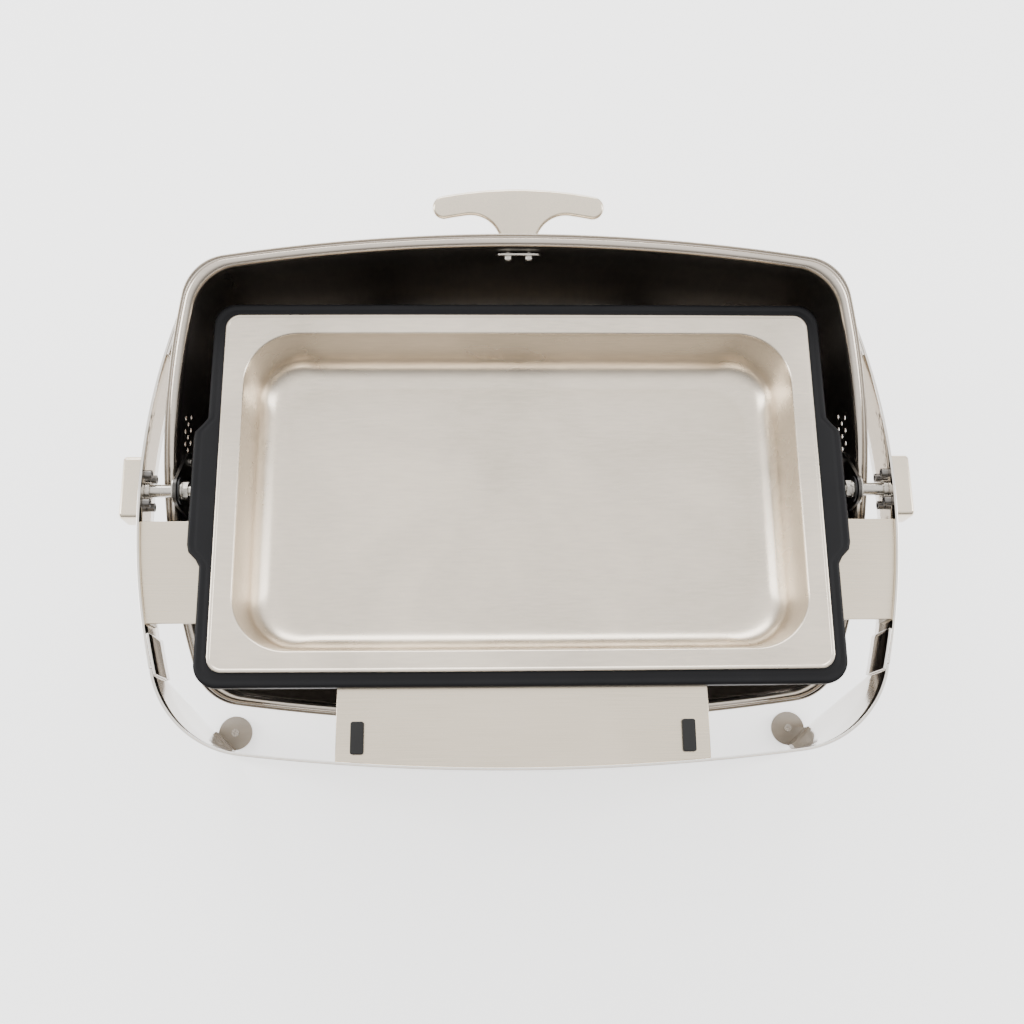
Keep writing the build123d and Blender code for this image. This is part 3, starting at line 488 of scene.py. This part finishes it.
def pan_inside(flange, draft, depth, floor_r, lip_r, corner, floor_corner):
    """The inside of a pan below its flange. The wall leans in by the draft; the lip bend ends and
    the floor bend starts along that lean, so the sheet runs smoothly from one to the next. The plan
    corner stays generous down to the floor, which gives each corner its cone-like sweep."""
    lean = math.atan2(draft, depth - lip_r - floor_r)
    turn = np.linspace(0, np.pi / 2 - lean, LIP_STEPS)
    lip = np.stack([flange + lip_r * np.sin(turn), lip_r * (1 - np.cos(turn)),
                    corner - lip_r * np.sin(turn), np.ones(LIP_STEPS)], 1)
    foot = np.array([lip[-1, 0] + draft, depth - floor_r * (1 - math.sin(lean))])
    steps = np.linspace(0, 1, WALL_STEPS + 2)[1:-1]
    wall = np.stack([lip[-1, 0] + draft * steps, lip[-1, 1] + (foot[1] - lip[-1, 1]) * steps,
                     lip[-1, 2] - CORNER_TAPER * draft * steps, np.ones(WALL_STEPS)], 1)
    turn = np.linspace(lean, np.pi / 2, BEND_STEPS)
    floor = np.stack([foot[0] + floor_r * (math.cos(lean) - np.cos(turn)),
                      foot[1] + floor_r * (np.sin(turn) - math.sin(lean)),
                      np.linspace(lip[-1, 2] - CORNER_TAPER * draft, floor_corner, BEND_STEPS),
                      np.ones(BEND_STEPS)], 1)
    inner = np.linspace(1, 0, FLOOR_STEPS + 1)[1:]
    flat = np.stack([np.full(FLOOR_STEPS, floor[-1, 0]), depth - FLOOR_CROWN * (1 - inner ** 2),
                     np.full(FLOOR_STEPS, floor[-1, 2]), inner], 1)
    return np.vstack([lip, wall, floor, flat])


def food_pan():
    """Inside from the floor's middle up to the hem, then the outside back down, one sheet apart."""
    inside = pan_inside(flange=16 * MM, draft=6 * MM, depth=PAN_DEPTH - PAN_SHEET, floor_r=25 * MM,
                        lip_r=3 * MM, corner=50 * MM, floor_corner=40 * MM)
    inside[:, 1] += PAN_SHEET * (1 - inside[:, 1] / inside[:, 1].max())
    outside = outer_skin(inside, PAN_SHEET, PAN_DEPTH)
    rows = np.vstack([inside[::-1], whole(PAN_HEM)[::-1], whole(PAN_UNDER)[::-1], outside])
    rings = vessel_rings(rows, PAN_HALF_X, PAN_HALF_Y, MIDDLE_Y, RIM_Z)
    mesh = grid_mesh("food_pan_surface", rings, wrap=True)
    finish_mesh(mesh)
    return new_piece("food_pan_surface", mesh, [PAN_STEEL])


pan = food_pan()
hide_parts("food_pan")
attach(pan, "food_pan")
print("food pan faces", len(pan.data.polygons))

# %% [markdown]
# ## The black water pan
# It is drawn like the food pan but deeper, and its broad rim shows all round. The rim has a rounded
# outer edge, a shallow groove that stiffens it, and a shallow lobe on each side where it can be
# gripped. The lobe is added by pushing the side points out by a smooth step of their Y.

# %% Water pan
WATER_LOW, WATER_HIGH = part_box("water_pan")
WATER_HALF_Y = (WATER_HIGH.y - WATER_LOW.y) / 2
LOBE = 11.5 * MM
WATER_HALF_X = WATER_HIGH.x - LOBE
WATER_DEPTH = WATER_HIGH.z - WATER_LOW.z
WATER_SHEET = 1.2 * MM
LOBE_FRONT, LOBE_BACK, LOBE_SLOPE = -62 * MM, 57 * MM, 8 * MM
LOBE_INNER, LOBE_FADE, LOBE_REACH = 10 * MM, 8 * MM, 26 * MM

# The rim from outside to inside, in mm: inset, depth below the top, corner radius.
WATER_RIM = [(3.0, 10.6, 17.5), (0.2, 10.6, 19.8), (0.0, 10.0, 20.0), (0.0, 3.6, 20.0),
             (0.25, 2.2, 19.8), (1.0, 0.9, 19.2), (2.2, 0.15, 18.2), (3.2, 0.0, 17.4),
             (4.6, 0.05, 16.6), (5.4, 0.4, 16.4), (6.2, 0.5, 16.2), (7.2, 0.42, 16.0),
             (8.4, 0.15, 15.6), (9.6, 0.05, 15.0), (11.0, 0.02, 14.6), (12.5, 0.0, 15.0),
             (17.0, 0.0, 30.0)]
WATER_UNDER = [(20.0, 3.0, 40.0), (6.0, 3.0, 15.0), (3.2, 3.2, 17.0)]


def smooth_step(t):
    """0 below 0, 1 above 1, and a smooth S between."""
    t = np.clip(t, 0, 1)
    return t * t * (3 - 2 * t)


def water_pan():
    """The same order of rings as the food pan, with the lobes pushed out of the outer rows."""
    inside = pan_inside(flange=24 * MM, draft=12 * MM, depth=WATER_DEPTH - WATER_SHEET,
                        floor_r=15 * MM, lip_r=3 * MM, corner=52 * MM, floor_corner=30 * MM)
    outside = outer_skin(inside, WATER_SHEET, WATER_DEPTH)[2:]
    rows = np.vstack([inside[::-1], whole(WATER_RIM)[::-1], whole(WATER_UNDER)[::-1], outside])
    rings = vessel_rings(rows, WATER_HALF_X, WATER_HALF_Y, MIDDLE_Y, WATER_HIGH.z)
    y = rings[..., 1] - MIDDLE_Y
    along = smooth_step((y - LOBE_FRONT + LOBE_SLOPE) / (2 * LOBE_SLOPE))
    along = along * smooth_step((LOBE_BACK + LOBE_SLOPE - y) / (2 * LOBE_SLOPE))
    outwards = 1 - smooth_step((rows[:, 0] - LOBE_INNER) / LOBE_FADE)
    side = np.abs(rings[..., 0]) > WATER_HALF_X - LOBE_REACH
    push = LOBE * along * outwards[:, None] * side
    rings[..., 0] += np.sign(rings[..., 0]) * push
    mesh = grid_mesh("water_pan_surface", rings, wrap=True)
    finish_mesh(mesh)
    return new_piece("water_pan_surface", mesh, [BLACK_COATING])


tub = water_pan()
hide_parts("water_pan")
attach(tub, "water_pan")
print("water pan faces", len(tub.data.polygons))

# %% [markdown]
# ## The lid
# The lid is one deep drawing. Both its sections are superellipses. From front to back the power is
# low, so the lid is nearly round about its pivot; from side to side it is high, so the end walls
# stand upright and the pans stay clear of them as the lid rolls past.
# Round its mouth the metal rolls out into a convex bead, dips, and ends in a thin lip. The surface
# is made as for the closed lid and then swung about the pivot by the joint's own angle.

# %% Lid surface
LID_LOW, LID_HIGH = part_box("lid_shell")
LID_HALF_X, LID_HALF_Y = (LID_HIGH.x - LID_LOW.x) / 2, 224.5 * MM
LID_SIDE_R, LID_END_R, LID_CORNER_R = 700 * MM, 1800 * MM, 46 * MM
LID_FLANGE, LID_SHEET, LID_HEIGHT = 12 * MM, 1.0 * MM, 174 * MM
ROLL_POWER, END_POWER = 2.6, 5.5
LID_RIM_Z = PIVOT.z + 16.5 * MM
LID_FIRST_ANGLE, LID_TOP_ANGLE = 0.10, 1.255
CROWN_RISE, CROWN_POWER = 2.0 * MM, 1.5
DOME_STEPS, CROWN_STEPS, BEAD_STEPS = 34, 11, 96
CORNER_GROWTH = 0.1
# The painted-shade steel of the inside runs down the bead to this height.
BEAD_TOP, PAINTED_SHADE_BELOW = 19 * MM, 4 * MM

# The bead from inside to outside, in mm: inset from the mouth's outer edge, height above the rim.
LID_BEAD = [(13.0, 16.0), (12.7, 9.0), (12.3, 6.0), (11.6, 3.9), (10.6, 2.2), (9.2, 0.9),
            (7.6, 0.2), (6.0, 0.1), (4.6, 0.6), (3.5, 1.4), (2.7, 1.8), (2.0, 1.5), (1.4, 0.7),
            (0.8, 0.3), (0.2, 0.8), (0.0, 2.0), (0.2, 3.2), (0.9, 3.6), (1.6, 3.3), (2.7, 3.5),
            (4.2, 2.4), (6.0, 1.4), (7.8, 1.5), (9.4, 2.4), (10.8, 4.6), (11.6, 8.0), (12.0, 15.0)]


def swing(points):
    """Turns closed-lid points about the pivot to the open rest position."""
    turn = np.array(Matrix.Rotation(LID_TURN, 3, "X"))
    centre = np.array(PIVOT)
    return (points - centre) @ turn.T + centre


def superellipse_inset(fraction, power):
    """How far a wall has come in at a fraction of the height: the flange, plus the span times one
    minus (1 - fraction^power)^(1/power)."""
    return LID_FLANGE + (LID_HALF_Y - LID_FLANGE) * (1 - (1 - fraction ** power) ** (1 / power))


def lid_rows(sheet):
    """Rows of (end inset, roll inset, height, corner radius, shrink) up the dome. The fraction of
    the height is sin(angle)^(2/power), so that rows crowd where the wall turns fastest."""
    angle = np.linspace(LID_FIRST_ANGLE, LID_TOP_ANGLE, DOME_STEPS)
    fraction = np.sin(angle) ** (2 / ROLL_POWER)
    roll = superellipse_inset(fraction, ROLL_POWER) + sheet
    ends = superellipse_inset(fraction, END_POWER) + sheet
    height = (LID_HEIGHT - sheet) * fraction
    corner = LID_CORNER_R + CORNER_GROWTH * roll
    dome = np.stack([ends, roll, height, corner, np.ones(DOME_STEPS)], 1)
    shrink = np.linspace(1, 0, CROWN_STEPS + 1)[1:]
    crown = np.repeat(dome[-1:], CROWN_STEPS, axis=0)
    crown[:, 2] += CROWN_RISE * (1 - shrink ** CROWN_POWER)
    crown[:, 4] = shrink
    return np.vstack([dome, crown])


def bead_rows():
    """The bead's section, resampled smoothly, as rows in the order that lid_rows gives."""
    bead = np.array(LID_BEAD) * MM
    bead = np.hstack([bead, np.full((len(bead), 1), LID_CORNER_R)])
    bead = smooth_steps(bead, BEAD_STEPS)
    return np.hstack([bead[:, :1], bead, np.ones((BEAD_STEPS, 1))])


def lid_surface():
    """Inside dome down to the bead, round the lip, and up the outside."""
    bead, inside, outside = bead_rows(), lid_rows(LID_SHEET), lid_rows(0.0)
    inside, outside = inside[inside[:, 2] > BEAD_TOP], outside[outside[:, 2] > BEAD_TOP]
    rows = np.vstack([inside[::-1], bead, outside])
    x, y = bowed_loops(LID_HALF_X - rows[:, 0], LID_HALF_Y - rows[:, 1], LID_SIDE_R, LID_END_R,
                       rows[:, 3])
    x, y = x * rows[:, 4:5], y * rows[:, 4:5] + MIDDLE_Y
    z = np.broadcast_to((LID_RIM_Z + rows[:, 2])[:, None], x.shape)
    points = swing(np.stack([x, y, z], -1))
    # The inside and the inner slope of the bead take the darker copy of the steel: painted shade on one sheet.
    painted_shade_rows = len(inside) + int(np.argmax(bead[:, 2] < PAINTED_SHADE_BELOW))
    slots = (np.arange(len(rows) - 1) < painted_shade_rows).astype(np.int32)
    mesh = grid_mesh("lid_dome", points, wrap=True, slots=slots)
    finish_mesh(mesh)
    return new_piece("lid_dome", mesh, [LID_OUTSIDE, LID_INSIDE_PAINTED_SHADE])


lid = lid_surface()
print("lid faces", len(lid.data.polygons))

# %% [markdown]
# ## Vents in the lid
# Steam leaves through staggered rows of small round holes in the side walls. They are real holes,
# cut by a boolean with a set of short round pegs that stand in the same rows, and the pegs are then
# deleted.

# %% Vent holes
VENT_R, VENT_PITCH, VENT_COLUMNS, VENT_ROWS, VENT_FIRST = 2.1 * MM, 12 * MM, 11, 3, 24 * MM
VENT_ROW_SHARE = 0.8
PEG_SIDES, PEG_INNER, PEG_OUTER = 24, 290 * MM, 335 * MM


def vent_pegs():
    """One mesh of short pegs along X: a ring of angles times every row and column place, at an
    inner and an outer X on each side."""
    row, column = np.meshgrid(np.arange(VENT_ROWS), np.arange(VENT_COLUMNS), indexing="ij")
    y = (column - (VENT_COLUMNS - 1) / 2) * VENT_PITCH + (row % 2) * VENT_PITCH / 2 + MIDDLE_Y
    z = LID_RIM_Z + VENT_FIRST + row * VENT_PITCH * VENT_ROW_SHARE
    angle = np.linspace(0, 2 * np.pi, PEG_SIDES, endpoint=False)
    ring_y = y.reshape(-1, 1) + VENT_R * np.cos(angle)
    ring_z = z.reshape(-1, 1) + VENT_R * np.sin(angle)
    shape = (2, len(ring_y), 2, PEG_SIDES)
    ends = np.array([[-PEG_INNER, -PEG_OUTER], [PEG_INNER, PEG_OUTER]])
    x = np.broadcast_to(ends[:, None, :, None], shape)
    y = np.broadcast_to(ring_y[None, :, None, :], shape)
    z = np.broadcast_to(ring_z[None, :, None, :], shape)
    points = swing(np.stack([x, y, z], -1).reshape(-1, 3))
    sides = np.arange(PEG_SIDES)
    onward = (sides + 1) % PEG_SIDES
    wall = np.stack([sides, onward, onward + PEG_SIDES, sides + PEG_SIDES], 1)
    caps = np.stack([sides[::-1], sides + PEG_SIDES])
    first = np.arange(2 * len(ring_y))[:, None, None] * 2 * PEG_SIDES
    faces = [face for peg in zip((wall + first).tolist(), (caps + first).tolist())
             for part in peg for face in part]
    mesh = bpy.data.meshes.new("vent_pegs")
    mesh.from_pydata(points, [], faces)
    work = bmesh.new()
    work.from_mesh(mesh)
    bmesh.ops.recalc_face_normals(work, faces=work.faces)
    work.to_mesh(mesh)
    work.free()
    return mesh


def cut_vents(piece):
    """Cuts the pegs out of the lid and keeps the result as the lid's own mesh."""
    pegs = bpy.data.objects.new("vent_pegs", vent_pegs())
    bpy.context.scene.collection.objects.link(pegs)
    cut = piece.modifiers.new("vents", "BOOLEAN")
    cut.operation = "DIFFERENCE"
    cut.solver = "EXACT"
    cut.object = pegs
    bpy.context.view_layer.update()
    ready = piece.evaluated_get(bpy.context.evaluated_depsgraph_get())
    mesh = bpy.data.meshes.new_from_object(ready)
    piece.modifiers.clear()
    old = piece.data
    piece.data = mesh
    bpy.data.meshes.remove(old)
    mesh.name = "lid_dome"
    bpy.data.objects.remove(pegs)


cut_vents(lid)
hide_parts("lid_shell")
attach(lid, "lid")
print("lid faces with vents", len(lid.data.polygons))

# %% [markdown]
# ## The polished band
# The band is one strip bent round a bowed rectangle. Its plan is an arc of a large circle in front,
# a smaller one at each corner and a large one along each side, all touching. The outward direction
# turns steadily along it, so an angle of turn names a point, and a strip at any offset from the
# band is the same walk.

# %% Band walk
BAND_T = 2.5 * MM
BAND_LOW, BAND_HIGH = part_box("side_rail_right")
BAND_TOP, BAND_BOTTOM = BAND_HIGH.z, BAND_LOW.z
BAND_HALF_X, BAND_HALF_Y = BAND_HIGH.x - BAND_T, 240.7 * MM
SIDE_R, END_R, CORNER_R = 600 * MM, 2000 * MM, 90 * MM
LAP_END, LAP_START = 157 * MM, 127 * MM


def corner_middle():
    """Middle of the corner circle and the angles, from straight ahead, where the arcs hand over."""
    ax, by = BAND_HALF_X - SIDE_R, BAND_HALF_Y - END_R
    ra, rb = SIDE_R - CORNER_R, END_R - CORNER_R
    gap = math.hypot(ax, by)
    along = (ra ** 2 - rb ** 2 + gap ** 2) / (2 * gap)
    across = math.sqrt(ra ** 2 - along ** 2)
    ux, uy = -ax / gap, by / gap
    cx, cy = ax + along * ux - across * uy, along * uy + across * ux
    return cx, cy, math.atan2(cx, cy - by), math.atan2(cx - ax, cy)


CORNER_X, CORNER_Y, TURN_A, TURN_B = corner_middle()


def band_point(turn, offset=0.0):
    """Plan point where the outward direction has turned by this angle from straight ahead; the
    three arcs are circles about (0, half_y - end_r), the corner's middle and
    (half_x - side_r, 0)."""
    size, sign = np.abs(turn), np.sign(turn)
    radius = np.select([size < TURN_A, size < TURN_B], [END_R, CORNER_R], SIDE_R)
    cx = np.select([size < TURN_A, size < TURN_B], [0.0, CORNER_X], BAND_HALF_X - SIDE_R)
    cy = np.select([size < TURN_A, size < TURN_B], [BAND_HALF_Y - END_R, CORNER_Y], 0.0)
    x = sign * (cx + (radius + offset) * np.sin(size))
    y = cy + (radius + offset) * np.cos(size)
    return x, y


def side_turn(y):
    """The turn at which the side arc reaches this distance from the middle."""
    return math.pi / 2 - math.asin(y / SIDE_R)


print("corner arc from", round(math.degrees(TURN_A), 1), "to", round(math.degrees(TURN_B), 1))

# %% [markdown]
# ## Front and rear sheets with their legs
# Each end sheet is the band round two corners, with each corner drawn down into a leg. A leg is a
# ruled surface: straight lines join the band's lower edge to a short, straight foot line. Solidify
# gives the sheet its thickness and a small bevel softens the cut edges so that they catch the
# light.

# %% End sheets
FOOT_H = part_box("rubber_foot_front_right")[1].z
FOOT_X, FOOT_Y, FOOT_HALF = 311 * MM, 202 * MM, 24 * MM
BAND_ROWS, LEG_ROWS, CORNER_COLUMNS, FRONT_COLUMNS = 5, 26, 25, 61
SIDE_COLUMNS, TONGUE_COLUMNS, TONGUE_OVERLAP = 4, 12, 8 * MM
BAND_EDGE, BAND_EDGE_ANGLE = 0.5 * MM, math.radians(50)


def strip(turns, offset=0.0):
    """A grid down a stretch of band, from its top edge to its lower one."""
    x, y = band_point(turns, offset)
    z = np.linspace(BAND_TOP, BAND_BOTTOM, BAND_ROWS)[:, None]
    return np.stack(np.broadcast_arrays(x, y, z), -1)


def leg_grid(sign):
    """Ruled surface from the corner arc to the foot line; the lines spread evenly along both."""
    x, y = band_point(np.linspace(TURN_A, TURN_B, CORNER_COLUMNS))
    along = np.linspace(-1, 1, CORNER_COLUMNS) * FOOT_HALF / math.sqrt(2)
    foot_x, foot_y = FOOT_X + along, FOOT_Y - along
    t = np.linspace(0, 1, LEG_ROWS)[:, None]
    grid = np.stack([(x + (foot_x - x) * t) * sign, y + (foot_y - y) * t,
                     BAND_BOTTOM + (FOOT_H - BAND_BOTTOM) * t + 0 * x], -1)
    return grid if sign > 0 else grid[:, ::-1]


def join_meshes(name, grids, front):
    """Welds several grids into one sheet; front puts them on the -Y side of the dish."""
    work = bmesh.new()
    for grid in grids:
        grid = grid.copy()
        grid[..., 1] = (-grid[..., 1] if front else grid[..., 1]) + MIDDLE_Y
        mesh = grid_mesh(name, grid, wrap=False)
        work.from_mesh(mesh)
        bpy.data.meshes.remove(mesh)
    bmesh.ops.remove_doubles(work, verts=work.verts, dist=WELD)
    mesh = bpy.data.meshes.new(name)
    work.to_mesh(mesh)
    work.free()
    return mesh


def face_outwards(mesh):
    """Flips the faces whose normals look towards the dish's upright axis."""
    work = bmesh.new()
    work.from_mesh(mesh)
    axis, flat = Vector((0, MIDDLE_Y, 0)), Vector((1, 1, 0))
    wrong = [face for face in work.faces
             if face.normal.dot((face.calc_center_median() - axis) * flat) < 0]
    bmesh.ops.reverse_faces(work, faces=wrong)
    work.to_mesh(mesh)
    work.free()
    mesh.shade_smooth()


def soften_edges(piece, width, angle):
    """A live bevel of two segments on every edge sharper than the angle."""
    soft = piece.modifiers.new("edge", "BEVEL")
    soft.width = width
    soft.segments = 2
    soft.limit_method = "ANGLE"
    soft.angle_limit = angle


def thicken(piece):
    """Gives a sheet the band's thickness, on its outside, and small rounded edges."""
    solid = piece.modifiers.new("sheet", "SOLIDIFY")
    solid.thickness = BAND_T
    solid.offset = 1.0
    solid.use_even_offset = True
    soften_edges(piece, BAND_EDGE, BAND_EDGE_ANGLE)


def end_sheet(name, front):
    """Band, two legs and two lap tongues of one end sheet."""
    arcs = [np.linspace(-side_turn(LAP_END), -TURN_B, SIDE_COLUMNS)[:-1],
            np.linspace(-TURN_B, -TURN_A, CORNER_COLUMNS)[:-1],
            np.linspace(-TURN_A, TURN_A, FRONT_COLUMNS)[:-1],
            np.linspace(TURN_A, TURN_B, CORNER_COLUMNS)[:-1],
            np.linspace(TURN_B, side_turn(LAP_END), SIDE_COLUMNS)]
    grids = [strip(np.concatenate(arcs)), leg_grid(1), leg_grid(-1)]
    tongue = np.linspace(side_turn(LAP_END + TONGUE_OVERLAP), side_turn(LAP_START), TONGUE_COLUMNS)
    grids += [strip(sign * tongue, -BAND_T) for sign in (-1, 1)]
    mesh = join_meshes(name, grids, front)
    face_outwards(mesh)
    piece = new_piece(name, mesh, [MIRROR_STEEL])
    thicken(piece)
    return piece


for end_name, front in (("front_frame", True), ("rear_frame", False)):
    sheet = end_sheet(end_name + "_sheet", front)
    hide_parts(end_name)
    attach(sheet, "stand")
    print(sheet.name, "faces", len(sheet.data.polygons))

# %% [markdown]
# ## Side rails
# The rails continue the same walk along the sides, over the lap tongues. They are separate strips,
# so the lap shows as a step with a shadow line, as it does on the real band.

# %% Rails
RAIL_COLUMNS, RAIL_GAP = 90, 0.2 * MM
RAIL_END = side_turn(LAP_END - RAIL_GAP)

for side_name, sign in (("left", -1), ("right", 1)):
    turns = sign * np.linspace(RAIL_END, math.pi - RAIL_END, RAIL_COLUMNS)
    mesh = join_meshes("rail", [strip(turns)], False)
    face_outwards(mesh)
    rail = new_piece("side_rail_" + side_name + "_strip", mesh, [MIRROR_STEEL])
    thicken(rail)
    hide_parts("side_rail_" + side_name)
    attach(rail, "stand")
print("rails done")

# %% [markdown]
# ## Machined and pressed parts
# Bosses, nuts, shafts, brackets and the grip already have the right shape. They arrive as loose
# triangles, so each gets a copy that is welded, has its flat faces joined, takes a fine bevel where
# its edges need one and is shaded smooth except across its real edges.

# %% Softened copies
COPY_WELD, FLAT_ANGLE, SHARP_ANGLE = 0.002 * MM, math.radians(1.0), math.radians(38)


def softened(node, material, edge):
    """A welded copy of a part with fine rounded edges and smooth shading."""
    mesh = nodes[node].data.copy()
    mesh.name = node + "_finish"
    work = bmesh.new()
    work.from_mesh(mesh)
    bmesh.ops.remove_doubles(work, verts=work.verts, dist=COPY_WELD)
    bmesh.ops.dissolve_limit(work, angle_limit=FLAT_ANGLE, verts=work.verts, edges=work.edges)
    work.to_mesh(mesh)
    work.free()
    mesh.materials.clear()
    mesh.shade_smooth()
    mesh.set_sharp_from_angle(angle=SHARP_ANGLE)
    piece = new_piece(node + "_finish", mesh, [material])
    if edge:
        soften_edges(piece, edge, SHARP_ANGLE)
    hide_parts(node)
    return piece


# Each family of nodes: its material and the width of its bevel in mm.
FINISHES = {
    "front_ledge": (SATIN_STEEL, 0.4), "side_bracket": (SATIN_STEEL, 0.4),
    "pivot_boss": (CAST_SATIN, 0.0), "foot_bracket": (FOOT_STEEL, 0.3),
    "lid_handle": (CAST_SATIN, 0.0), "handle_backing_plate": (FASTENER_STEEL, 0.3),
    "handle_nuts": (FASTENER_STEEL, 0.0), "handle_studs": (FASTENER_STEEL, 0.0),
    "pan_cradle": (PLAIN_STEEL, 0.3), "fuel_bracket": (PLAIN_STEEL, 0.3),
    "cover_pin": (FASTENER_STEEL, 0.2), "fuel_cover": (PLAIN_STEEL, 0.3),
    # The pivot ear's steel is darkened as painted shade.
    "fuel_cup": (FUEL_TIN, 0.15), "pivot_ear": (EAR_PAINTED_SHADE_STEEL, 0.3), "ear_bush": (BUSH_BRASS, 0.1),
    "ear_rivets": (FASTENER_STEEL, 0.2), "ledge_pad": (BLACK_RUBBER, 0.0),
    "rubber_foot": (BLACK_RUBBER, 0.3), "friction_disc": (BLACK_NYLON, 0.15),
    "end_nut": (FASTENER_STEEL, 0.25), "pivot_shaft": (FASTENER_STEEL, 0.2),
    "shaft_collar": (FASTENER_STEEL, 0.25), "pivot_washers": (FASTENER_STEEL, 0.2),
    "boss_screws": (SCREW_STEEL, 0.2), "foot_screws": (FASTENER_STEEL, 0.15),
    "lap_rivets": (FASTENER_STEEL, 0.2),
}
DONE = {"lid_shell", "food_pan", "water_pan", "front_frame", "rear_frame", "side_rail_left",
        "side_rail_right"}
RECORD = frame["record"]
BODY_OF = {node: body for body, members in RECORD["behaviour"]["bodies"].items()
           for node in members}

for node in sorted(set(nodes) - DONE):
    family = next(name for name in FINISHES if node.startswith(name))
    material, edge = FINISHES[family]
    part = softened(node, material, edge * MM)
    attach(part, BODY_OF[node])
print("finished copies", len(set(nodes) - DONE))

# %% [markdown]
# ## Table and light
# The dish stands on a pale, faintly glowing floor. Mirror steel shows what is round it, so most of
# the light comes from a white sky that falls to grey near the horizon. A soft bank behind and a
# card on each side add the long highlights on the band and in the pan.

# %% Stage
FLOOR_HALF, FLOOR_GLOW = 12.0, 1.3


def stage_material():
    """Near-white paper with a barely visible unevenness."""
    material, tree, shader = new_material("pale_paper")
    clouds = place_group(tree, CLOUDS, {"Scale": 2.0})
    tint = tint_between(tree, dark=(0.90, 0.90, 0.90), light=(0.93, 0.93, 0.93),
                        factor=clouds.outputs["Clouds"])
    tree.links.new(tint, shader.inputs["Base Color"])
    tree.links.new(tint, shader.inputs["Emission Color"])
    shader.inputs["Emission Strength"].default_value = FLOOR_GLOW
    shader.inputs["Roughness"].default_value = 0.9
    return material


floor_mesh = bpy.data.meshes.new("table_sweep")
corners = np.array([(-1, -1, 0), (1, -1, 0), (1, 1, 0), (-1, 1, 0)]) * FLOOR_HALF
floor_mesh.from_pydata(corners, [], [(0, 1, 2, 3)])
floor = new_piece("table_sweep", floor_mesh, [stage_material()])
floor.location.z = low_rest.z


def card(name, place, size, power):
    """A soft rectangular light aimed at the middle of the rim."""
    data = bpy.data.lights.new(name, "AREA")
    data.shape = "RECTANGLE"
    data.size, data.size_y = size
    data.energy = power
    light = bpy.data.objects.new(name, data)
    light.location = place
    aim = Vector((0, 0, RIM_Z)) - Vector(place)
    light.rotation_euler = aim.to_track_quat("-Z", "Y").to_euler()
    bpy.context.scene.collection.objects.link(light)


card("back_bank", place=(-0.3, 2.4, 1.5), size=(2.6, 0.9), power=55)
card("left_card", place=(-2.2, 0.2, 1.2), size=(0.7, 1.8), power=34)
card("right_card", place=(2.2, 0.2, 1.3), size=(0.7, 1.8), power=28)

BACK_SHARE, SKY_STRENGTH = 0.35, 2.15
SKY_STOPS = ((0.14, 0.26), (0.40, 0.55), (0.70, 0.94))


def studio_world():
    """White overhead and behind, falling to grey near the horizon in front: brightness follows the
    direction's height plus a share of how far it points to the back."""
    world = bpy.data.worlds.new("studio")
    world.use_nodes = True
    tree = world.node_tree
    where = tree.nodes.new("ShaderNodeTexCoord")
    split = tree.nodes.new("ShaderNodeSeparateXYZ")
    tree.links.new(where.outputs["Generated"], split.inputs[0])
    lean_back = tree.nodes.new("ShaderNodeMath")
    lean_back.operation = "MULTIPLY_ADD"
    lean_back.inputs[1].default_value = BACK_SHARE
    tree.links.new(split.outputs["Y"], lean_back.inputs[0])
    tree.links.new(split.outputs["Z"], lean_back.inputs[2])
    ramp = tree.nodes.new("ShaderNodeValToRGB")
    tree.links.new(lean_back.outputs[0], ramp.inputs["Fac"])
    stops = ramp.color_ramp.elements
    stops[0].position, stops[0].color = 0.0, (0.20, 0.195, 0.19, 1)
    stops[1].position, stops[1].color = 1.0, (0.98, 0.98, 0.975, 1)
    for place, value in SKY_STOPS:
        stop = stops.new(place)
        stop.color = (value, value * 0.995, value * 0.985, 1)
    tree.links.new(ramp.outputs["Color"], tree.nodes["Background"].inputs["Color"])
    tree.nodes["Background"].inputs["Strength"].default_value = SKY_STRENGTH
    return world


bpy.context.scene.world = studio_world()
print("lights", len(bpy.data.lights))

# %% [markdown]
# ## Camera
# The camera looks down steeply from just left of the middle, slightly rolled, so that the inside of
# the pan and of the open lid show. Its three directions come from two angles and a roll.

# %% Camera
VIEW_AZIMUTH, VIEW_ELEVATION = math.radians(-6.5), math.radians(74.89)
VIEW_ROLL = math.radians(6.08)
CAMERA_FROM_RIM = Vector((-0.0366, -0.2746, 0.9316))
SENSOR_WIDTH, FOCAL_PER_WIDTH = 36.0, 1.0848


def camera_axes(azimuth, elevation, roll):
    """Right, up and back directions of a camera from its azimuth, elevation and roll."""
    back = Vector((math.sin(azimuth) * math.cos(elevation),
                   -math.cos(azimuth) * math.cos(elevation), math.sin(elevation)))
    right = (-back).cross(Vector((0, 0, 1))).normalized()
    up = right.cross(-back)
    rolled_right = right * math.cos(roll) + up * math.sin(roll)
    rolled_up = up * math.cos(roll) - right * math.sin(roll)
    return rolled_right, rolled_up, back


right, up, back = camera_axes(VIEW_AZIMUTH, VIEW_ELEVATION, VIEW_ROLL)
camera_data = bpy.data.cameras.new("steep_view")
camera_data.sensor_width = SENSOR_WIDTH
camera_data.lens = SENSOR_WIDTH * FOCAL_PER_WIDTH
camera = bpy.data.objects.new("steep_view", camera_data)
place = Matrix((right, up, back)).transposed().to_4x4()
place.translation = Vector((0, MIDDLE_Y, RIM_Z)) + CAMERA_FROM_RIM
camera.matrix_world = place
bpy.context.scene.collection.objects.link(camera)
bpy.context.scene.camera = camera
print("camera lens", round(camera_data.lens, 2))
